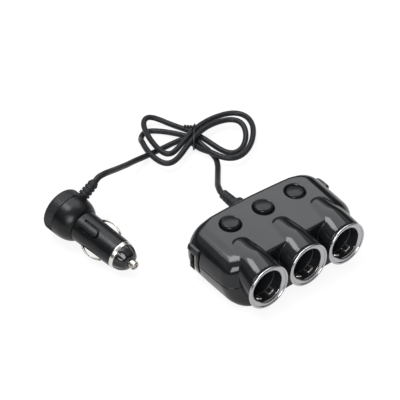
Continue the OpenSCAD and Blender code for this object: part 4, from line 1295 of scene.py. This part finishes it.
class SPLITTER_OT_ports(Operator):
    """Charging ports: bezels with hoods, metal shells, tongues and gold strips"""

    bl_idname = "splitter.ports"
    bl_label = "Side ports"

    def execute(self, context):
        for s, side in ((-1, "left"), (1, "right")):
            piece = bezel(s, f"bezel_{side}")
            dress(piece, "gloss_plastic", "hub", "bezel_plastic", f"usb_bezel_{side}")
            metal = port_shell(s, f"port_shell_{side}")
            dress(metal, "nickel", "hub", "port_metal", f"usb_shell_{side}")
            # The rolled rim gets the paler, rougher contact metal as a painted highlight along the port's
            # lit edge; the shell inside keeps the nickel
            metal.data.materials.append(FINISH["contact_nickel"])
            for face in metal.data.polygons:
                face.material_index = int(abs(face.center.x) > PORT_RIM_X)
            tongue = port_bar("tongue", s, (43, 46, 49, 51.6), 1.9, 11, 0.25)
            root = port_bar("root", s, (41.72, 42.7, 43.7), 5.06, 12.46, 0.6)
            piece = join(f"port_tongue_{side}", [tongue, root])
            dress(piece, "tongue_plastic", "hub", "port_plastic", f"usb_tongue_{side}")
            section = rounded_rectangle(0.24 * MM, 1.1 * MM, 0.1 * MM, 2)
            strip = sweep("strip", [(s * x * MM, 0, 0) for x in (-3.4, -3.2, 3.2, 3.4)], section)
            spots = [(s * STRIP_X, PORT_Y - 0.98 * MM, PART_Z + z * MM) for z in STRIP_Z]
            strips = repeated(f"port_strips_{side}", strip, spots, "gold_strip")
            dress(strips, "gold_strip", "hub", "contact_metal")
        return {"FINISHED"}


# ---- Inside and underneath ----
THREADS = 24
THREAD_START = 4.3
THREAD_STEP = 0.75


def cross_recess(across):
    """One bar of a screw's cross, narrower at its floor."""
    points = []
    for height, reach in ((2.2, 1.35), (3.5, 0.675)):
        for a, b in ((reach, 0.27), (-reach, 0.27), (-reach, -0.27), (reach, -0.27)):
            points.append((b, a, height) if across else (a, b, height))
    return prism(np.array(points) * MM)


class SPLITTER_OT_screws(Operator):
    """The four cross-head screws that join the shells"""

    bl_idname = "splitter.screws"
    bl_label = "Screws"

    def execute(self, context):
        outline = [(2.42, 0), (2.42, 1.5), (2.75, 2.1), (3.3, 2.2), (4.0, 2.2), (4.0, 1.1)]
        for base in THREAD_START + THREAD_STEP * np.arange(THREADS):
            outline += [(base, 1.02), (base + 0.35, 1.25)]
        outline += [(22.6, 0.9), (23.0, 0)]
        screw = lathe("screw", outline, Placing((0, 0, 0), *UPRIGHT), 40, 0.12, closed=False, steps=2)
        made = carved(screw, [cross_recess(False), cross_recess(True)])
        spots = [(bx * MM, by * MM, 0) for bx, by in BOSSES]
        piece = repeated("shell_screw_set", link("screw", made), spots, "screw_steel")
        dress(piece, "screw_steel", "hub", "screw_steel", "shell_screws")
        return {"FINISHED"}


class SPLITTER_OT_inside(Operator):
    """Finishes of the pieces inside the hub and the plug, which stay as the CAD gives them"""

    bl_idname = "splitter.inside"
    bl_label = "Inner pieces"

    def execute(self, context):
        finishes = {f"switch_{side}": "liner_plastic" for side in SIDES}
        finishes |= {"circuit_board": "board_mask", "plug_fuse": "fuse_glass", "tip_spring": "nickel"}
        for node, finish in finishes.items():
            paint(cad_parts[node], finish)
        return {"FINISHED"}


# ---- Plug: along its axis in millimetres, from the barrel's end at the tip ----
BARREL_LENGTH = 34
BARREL_SHARES = ((0, 0.904), (0.235, 0.936), (0.5, 0.954), (0.765, 0.982), (1, 1))
HEAD_SHARES = ((0, 0.723), (0.062, 0.787), (0.2, 0.865), (0.385, 0.929), (0.615, 0.974), (1, 1))
NOSE_SHARES = ((0, 0.435), (0.125, 0.674), (0.375, 0.848), (0.675, 0.957), (1, 1))
SLOT_MIDDLE = 17
SLOT_HALF = (8.4, 2.45, 1)
SLOT_DEPTH = 4.5
MARK_BEND = 18.5
MARK_END = 29.5
MARK_RADIUS = 3.1
MARK_HALF = 0.72
MARK_DEPTH = 1.5
FLUTE_FROM = -9.6
FLUTE_LENGTH = 7.2
FLUTE_DEPTH = 0.5
RIB_RADIUS = 0.26
CAP_EDGE = 1.5
LEAF_BOW = 14.6
LEAF_CENTRE = -1.7
LEAF_HALF = 7.85


def shares_curve(shares, start, length, radius):
    """A smooth outline through pairs of shares, along a length and of a radius."""
    points = [(start + a * length, b * radius) for a, b in shares]
    return [tuple(p) for p in catmull(points, 6)]


def off_turn(a, turn):
    """How far an angle round the plug is from a turn, within half a circle."""
    return (a - turn + math.pi) % (2 * math.pi) - math.pi


def pushed_in(turn, facing, depth):
    """Moves of the surface straight in against a turn, on the side that faces it."""
    way = np.array([math.cos(turn), math.sin(turn)])
    return way[:, None, None] * np.where(facing, depth, 0)


def rings(outline, around):
    """Points of whole rings, one for each pair of a place along the plug and a radius."""
    return [(x, r * math.cos(t), r * math.sin(t)) for x, r in outline for t in around]


class SPLITTER_OT_barrel(Operator):
    """The plug's barrel with its two spring slots and the mark shaped like a U"""

    bl_idname = "splitter.barrel"
    bl_label = "Barrel"

    def execute(self, context):
        radius = context.scene.splitter_plug.barrel_radius / MM
        curve = np.array(shares_curve(BARREL_SHARES, 0, BARREL_LENGTH, radius))
        coarse = [*np.arange(0.3, 14, 0.3), *np.arange(30.3, 33.8, 0.3)]
        fine = [*np.arange(14, 30.2, 0.18), 8.55, 8.65, 25.35, 25.45]
        along = np.unique(np.round(coarse + fine, 3))
        around = np.radians(np.arange(0, 360, 0.9))
        s, a = np.meshgrid(along, around, indexing="ij")
        surface = np.interp(s, curve[:, 0], curve[:, 1])
        push = np.zeros((2, *s.shape))
        for turn in (SPRING_TURN, SPRING_TURN + math.pi):
            off = off_turn(a, turn)
            across = np.abs(surface * np.sin(off))
            inside = box_distance(s, across, 0 * s, (SLOT_MIDDLE, 0, 0), SLOT_HALF, 0.3)
            push += pushed_in(turn, np.cos(off) > 0, SLOT_DEPTH * np.clip(-inside / 0.16, 0, 1))

        off = off_turn(a, MARK_TURN)
        facing = np.cos(off) > 0
        across = surface * np.sin(off)
        from_axis = np.where(s > MARK_BEND, np.abs(across), np.hypot(s - MARK_BEND, across))
        line = np.where(s > MARK_END, 9, np.abs(from_axis - MARK_RADIUS))
        push += pushed_in(MARK_TURN, facing, MARK_DEPTH * np.clip((MARK_HALF - line) / 0.25, 0, 1))
        swell = np.clip((2.5 - from_axis) / 0.5, 0, 1) * np.clip((MARK_END - s) / 6, 0, 1)
        heights = surface + np.where(facing & (s < MARK_END), 0.25 * swell, 0)

        local = np.stack([s, heights * np.cos(a) - push[0], heights * np.sin(a) - push[1]], axis=-1)
        start = rings([(4, 3.3), (4, 8.2), (0, 8.22), (0, 9.55), (0.08, 9.75)], around)
        end = rings([(33.92, radius - 0.15), (34, radius - 0.4), (34, 3.3)], around)
        points = np.concatenate([start, local.reshape(-1, 3), end])
        faces = bands(len(points) // len(around), len(around), closed=True)
        piece = mesh_piece("barrel", PLUG.at(points * MM), faces, sharp=math.radians(38))
        dress(piece, "plug_plastic", "hub", "plug_plastic", "plug_barrel")
        return {"FINISHED"}


class SPLITTER_OT_head(Operator):
    """The plug's domed head and its wide cap with fine ribs"""

    bl_idname = "splitter.head"
    bl_label = "Head and cap"

    def execute(self, context):
        s = context.scene.splitter_plug
        cap = s.cap_radius / MM
        dome = [(BARREL_LENGTH, 3.3), (BARREL_LENGTH, 0.72 * cap - 0.25)]
        dome += shares_curve(HEAD_SHARES, BARREL_LENGTH, 12.85, cap)
        dome += [(46.9, cap - 0.15), (46.95, cap - 0.9), (47.0, cap - 1.1), (47.0, 3.3)]
        head = lathe("dome", dome, PLUG, 128, 0.12, steps=2)
        dress(head, "plug_plastic", "hub", "plug_plastic", "plug_head")

        outline = [(47.0, 0), (47.0, 12), (47.3, 12), (47.32, cap - 0.5)]
        outline += [(47.6, cap - 0.24), (54.3, cap - 0.2)]
        for turn in np.radians(np.arange(0, 91, 15)):
            out = cap - CAP_EDGE + CAP_EDGE * math.cos(turn) - 0.2
            outline.append((54.5 + CAP_EDGE * math.sin(turn), out))
        outline += [(56.0, 12.5), (55.8, 12.2), (55.8, 0)]
        body = lathe("cap_body", outline, PLUG, 144, 0.15, closed=False, steps=3)

        path = np.array([(x, 0, 0) for x in (48.1, 48.4, 54.2, 54.6)])
        rib = sweep("rib", PLUG.at(path * MM), circle(RIB_RADIUS * MM, 8))
        rib.data.transform(Matrix.Translation(-Vector(PLUG.origin)))
        r = s.cap_radius - (0.2 + RIB_RADIUS) * MM + s.knurl_depth
        turns = 2 * math.pi * np.arange(s.knurls) / s.knurls
        spots = [PLUG.at((0, r * math.cos(turn), r * math.sin(turn))) for turn in turns]
        cap = join("cap", [body, repeated("cap_ribs", rib, spots, "plug_plastic")])
        dress(cap, "plug_plastic", "hub", "plug_plastic", "plug_cap")
        return {"FINISHED"}


def flute(piece, count):
    """Presses soft hollows into the nose, deepest halfway along it."""
    for vertex in piece.data.vertices:
        along, y, z = PLUG.axes @ (np.array(vertex.co) - PLUG.origin) / MM
        part = (along - FLUTE_FROM) / FLUTE_LENGTH
        if 0 < part < 1 and math.hypot(y, z) > 3.2:
            depth = FLUTE_DEPTH * math.sin(math.pi * part) ** 0.7
            share = 1 - depth * (0.5 - 0.5 * math.cos(count * math.atan2(z, y))) / 8
            vertex.co = PLUG.at(np.array((along, y * share, z * share)) * MM)


class SPLITTER_OT_tip(Operator):
    """The plug's glossy nose, its metal collar and the sprung pin with a crossed end"""

    bl_idname = "splitter.tip"
    bl_label = "Tip"

    def execute(self, context):
        outline = [(4, 4.6), (4, 8.2), (-1.95, 8.2)] + shares_curve(NOSE_SHARES, -10, 8, 9.2)[::-1]
        outline += [(-10, 2.98), (-5, 2.98), (-5, 4.6)]
        nose = lathe("nose", outline, PLUG, 160, 0.2, steps=3)
        flute(nose, context.scene.splitter_plug.flutes)
        dress(nose, "nose_plastic", "hub", "nose_plastic", "plug_nose")

        outline = [(-2.5, 8.95), (-2.5, 9.3), (-2.2, 9.5), (-0.5, 9.98)]
        outline += [(0, 10.02), (0.15, 9.7), (0, 8.9)]
        collar = lathe("collar", outline, PLUG, 128)
        dress(collar, "nickel", "hub", "contact_metal", "plug_collar")

        outline = [(-14.5, 0), (-14.5, 1.9), (-14.25, 2.5), (-13.7, 2.9), (-4.9, 2.9), (-4.9, 4.4)]
        outline += [(-3.5, 4.4), (-3.5, 2.9), (3, 2.9), (3, 0)]
        pin = lathe("pin", outline, PLUG, 64, closed=False)
        cutters = []
        for wide, tall in ((0.42, 4), (4, 0.42)):
            corners = ((-wide, -tall), (wide, -tall), (wide, tall), (-wide, tall))
            points = np.array([(x, y, z) for x in (-15.5, -13.75) for y, z in corners])
            cutters.append(prism(PLUG.at(points * MM)))
        made = carved(pin, cutters)
        made.set_sharp_from_angle(angle=math.radians(35))
        dress(link("pin", made), "spring_steel", "tip_body", "contact_metal", "tip_pin")
        return {"FINISHED"}


class SPLITTER_OT_side_springs(Operator):
    """Bowed leaf springs at the sides of the barrel"""

    bl_idname = "splitter.side_springs"
    bl_label = "Side springs"

    def execute(self, context):
        section = rounded_rectangle(4 * MM, 0.8 * MM, 0.3 * MM, 4)
        reach = np.linspace(-LEAF_HALF, LEAF_HALF, 25)
        path = np.column_stack([reach, LEAF_CENTRE + np.sqrt(LEAF_BOW**2 - reach**2), 0 * reach])
        for name, turn in (("lower", SPRING_TURN), ("upper", SPRING_TURN + math.pi)):
            out = np.array((0, math.cos(turn), math.sin(turn))) @ PLUG.axes
            place = Placing(PLUG.at((SLOT_MIDDLE * MM, 0, 0)), PLUG.axes[0], out)
            leaf = sweep(f"leaf_{name}", place.at(path * MM), section, start_up=place.axes[1])
            body = f"spring_{name}_body"
            dress(leaf, "spring_steel", body, "contact_metal", f"plug_side_spring_{name}")
        return {"FINISHED"}


class SPLITTER_OT_declare_lead(Operator):
    """Does nothing: it states nothing about the lead and only returns finished"""

    bl_idname = "splitter.declare_lead"
    bl_label = "Lead facts"

    def execute(self, context):
        return {"FINISHED"}


# ---- Panel, registration and the build ----
GROUPS = (
    ("splitter_stage", SplitterStage),
    ("splitter_hub", SplitterHub),
    ("splitter_sockets", SplitterSockets),
    ("splitter_buttons", SplitterButtons),
    ("splitter_lead", SplitterLead),
    ("splitter_plug", SplitterPlug),
    ("splitter_finishes", SplitterFinishes),
)
OPERATORS = (
    SPLITTER_OT_finishes,
    SPLITTER_OT_stage,
    SPLITTER_OT_lead,
    SPLITTER_OT_tie,
    SPLITTER_OT_boots,
    SPLITTER_OT_shells,
    SPLITTER_OT_rings,
    SPLITTER_OT_liners,
    SPLITTER_OT_contacts,
    SPLITTER_OT_buttons,
    SPLITTER_OT_ports,
    SPLITTER_OT_screws,
    SPLITTER_OT_inside,
    SPLITTER_OT_barrel,
    SPLITTER_OT_head,
    SPLITTER_OT_tip,
    SPLITTER_OT_side_springs,
    SPLITTER_OT_declare_lead,
)


class SPLITTER_PT_panel(Panel):
    """Lists the sizes, colours and pieces of the splitter"""

    bl_label = "Socket splitter"
    bl_idname = "SPLITTER_PT_panel"
    bl_space_type = "VIEW_3D"
    bl_region_type = "UI"
    bl_category = "Splitter"

    def draw(self, context):
        for name, group in GROUPS:
            box = self.layout.box()
            for field in group.__annotations__:
                box.prop(getattr(context.scene, name), field)
        for operator in OPERATORS:
            self.layout.operator(operator.bl_idname)


def register():
    for name, group in GROUPS:
        bpy.utils.register_class(group)
        setattr(bpy.types.Scene, name, PointerProperty(type=group))
    for listed in (*OPERATORS, SPLITTER_PT_panel):
        bpy.utils.register_class(listed)


def unregister():
    for listed in (SPLITTER_PT_panel, *reversed(OPERATORS)):
        bpy.utils.unregister_class(listed)
    for name, group in reversed(GROUPS):
        delattr(bpy.types.Scene, name)
        bpy.utils.unregister_class(group)


def main():
    register()
    bpy.ops.splitter.finishes()
    bpy.ops.splitter.stage()
    bpy.ops.splitter.lead()
    bpy.ops.splitter.tie()
    bpy.ops.splitter.boots()
    bpy.ops.splitter.shells()
    bpy.ops.splitter.rings()
    bpy.ops.splitter.liners()
    bpy.ops.splitter.contacts()
    bpy.ops.splitter.buttons()
    bpy.ops.splitter.ports()
    bpy.ops.splitter.screws()
    bpy.ops.splitter.inside()
    bpy.ops.splitter.barrel()
    bpy.ops.splitter.head()
    bpy.ops.splitter.tip()
    bpy.ops.splitter.side_springs()
    bpy.ops.splitter.declare_lead()


if __name__ == "__main__":
    main()
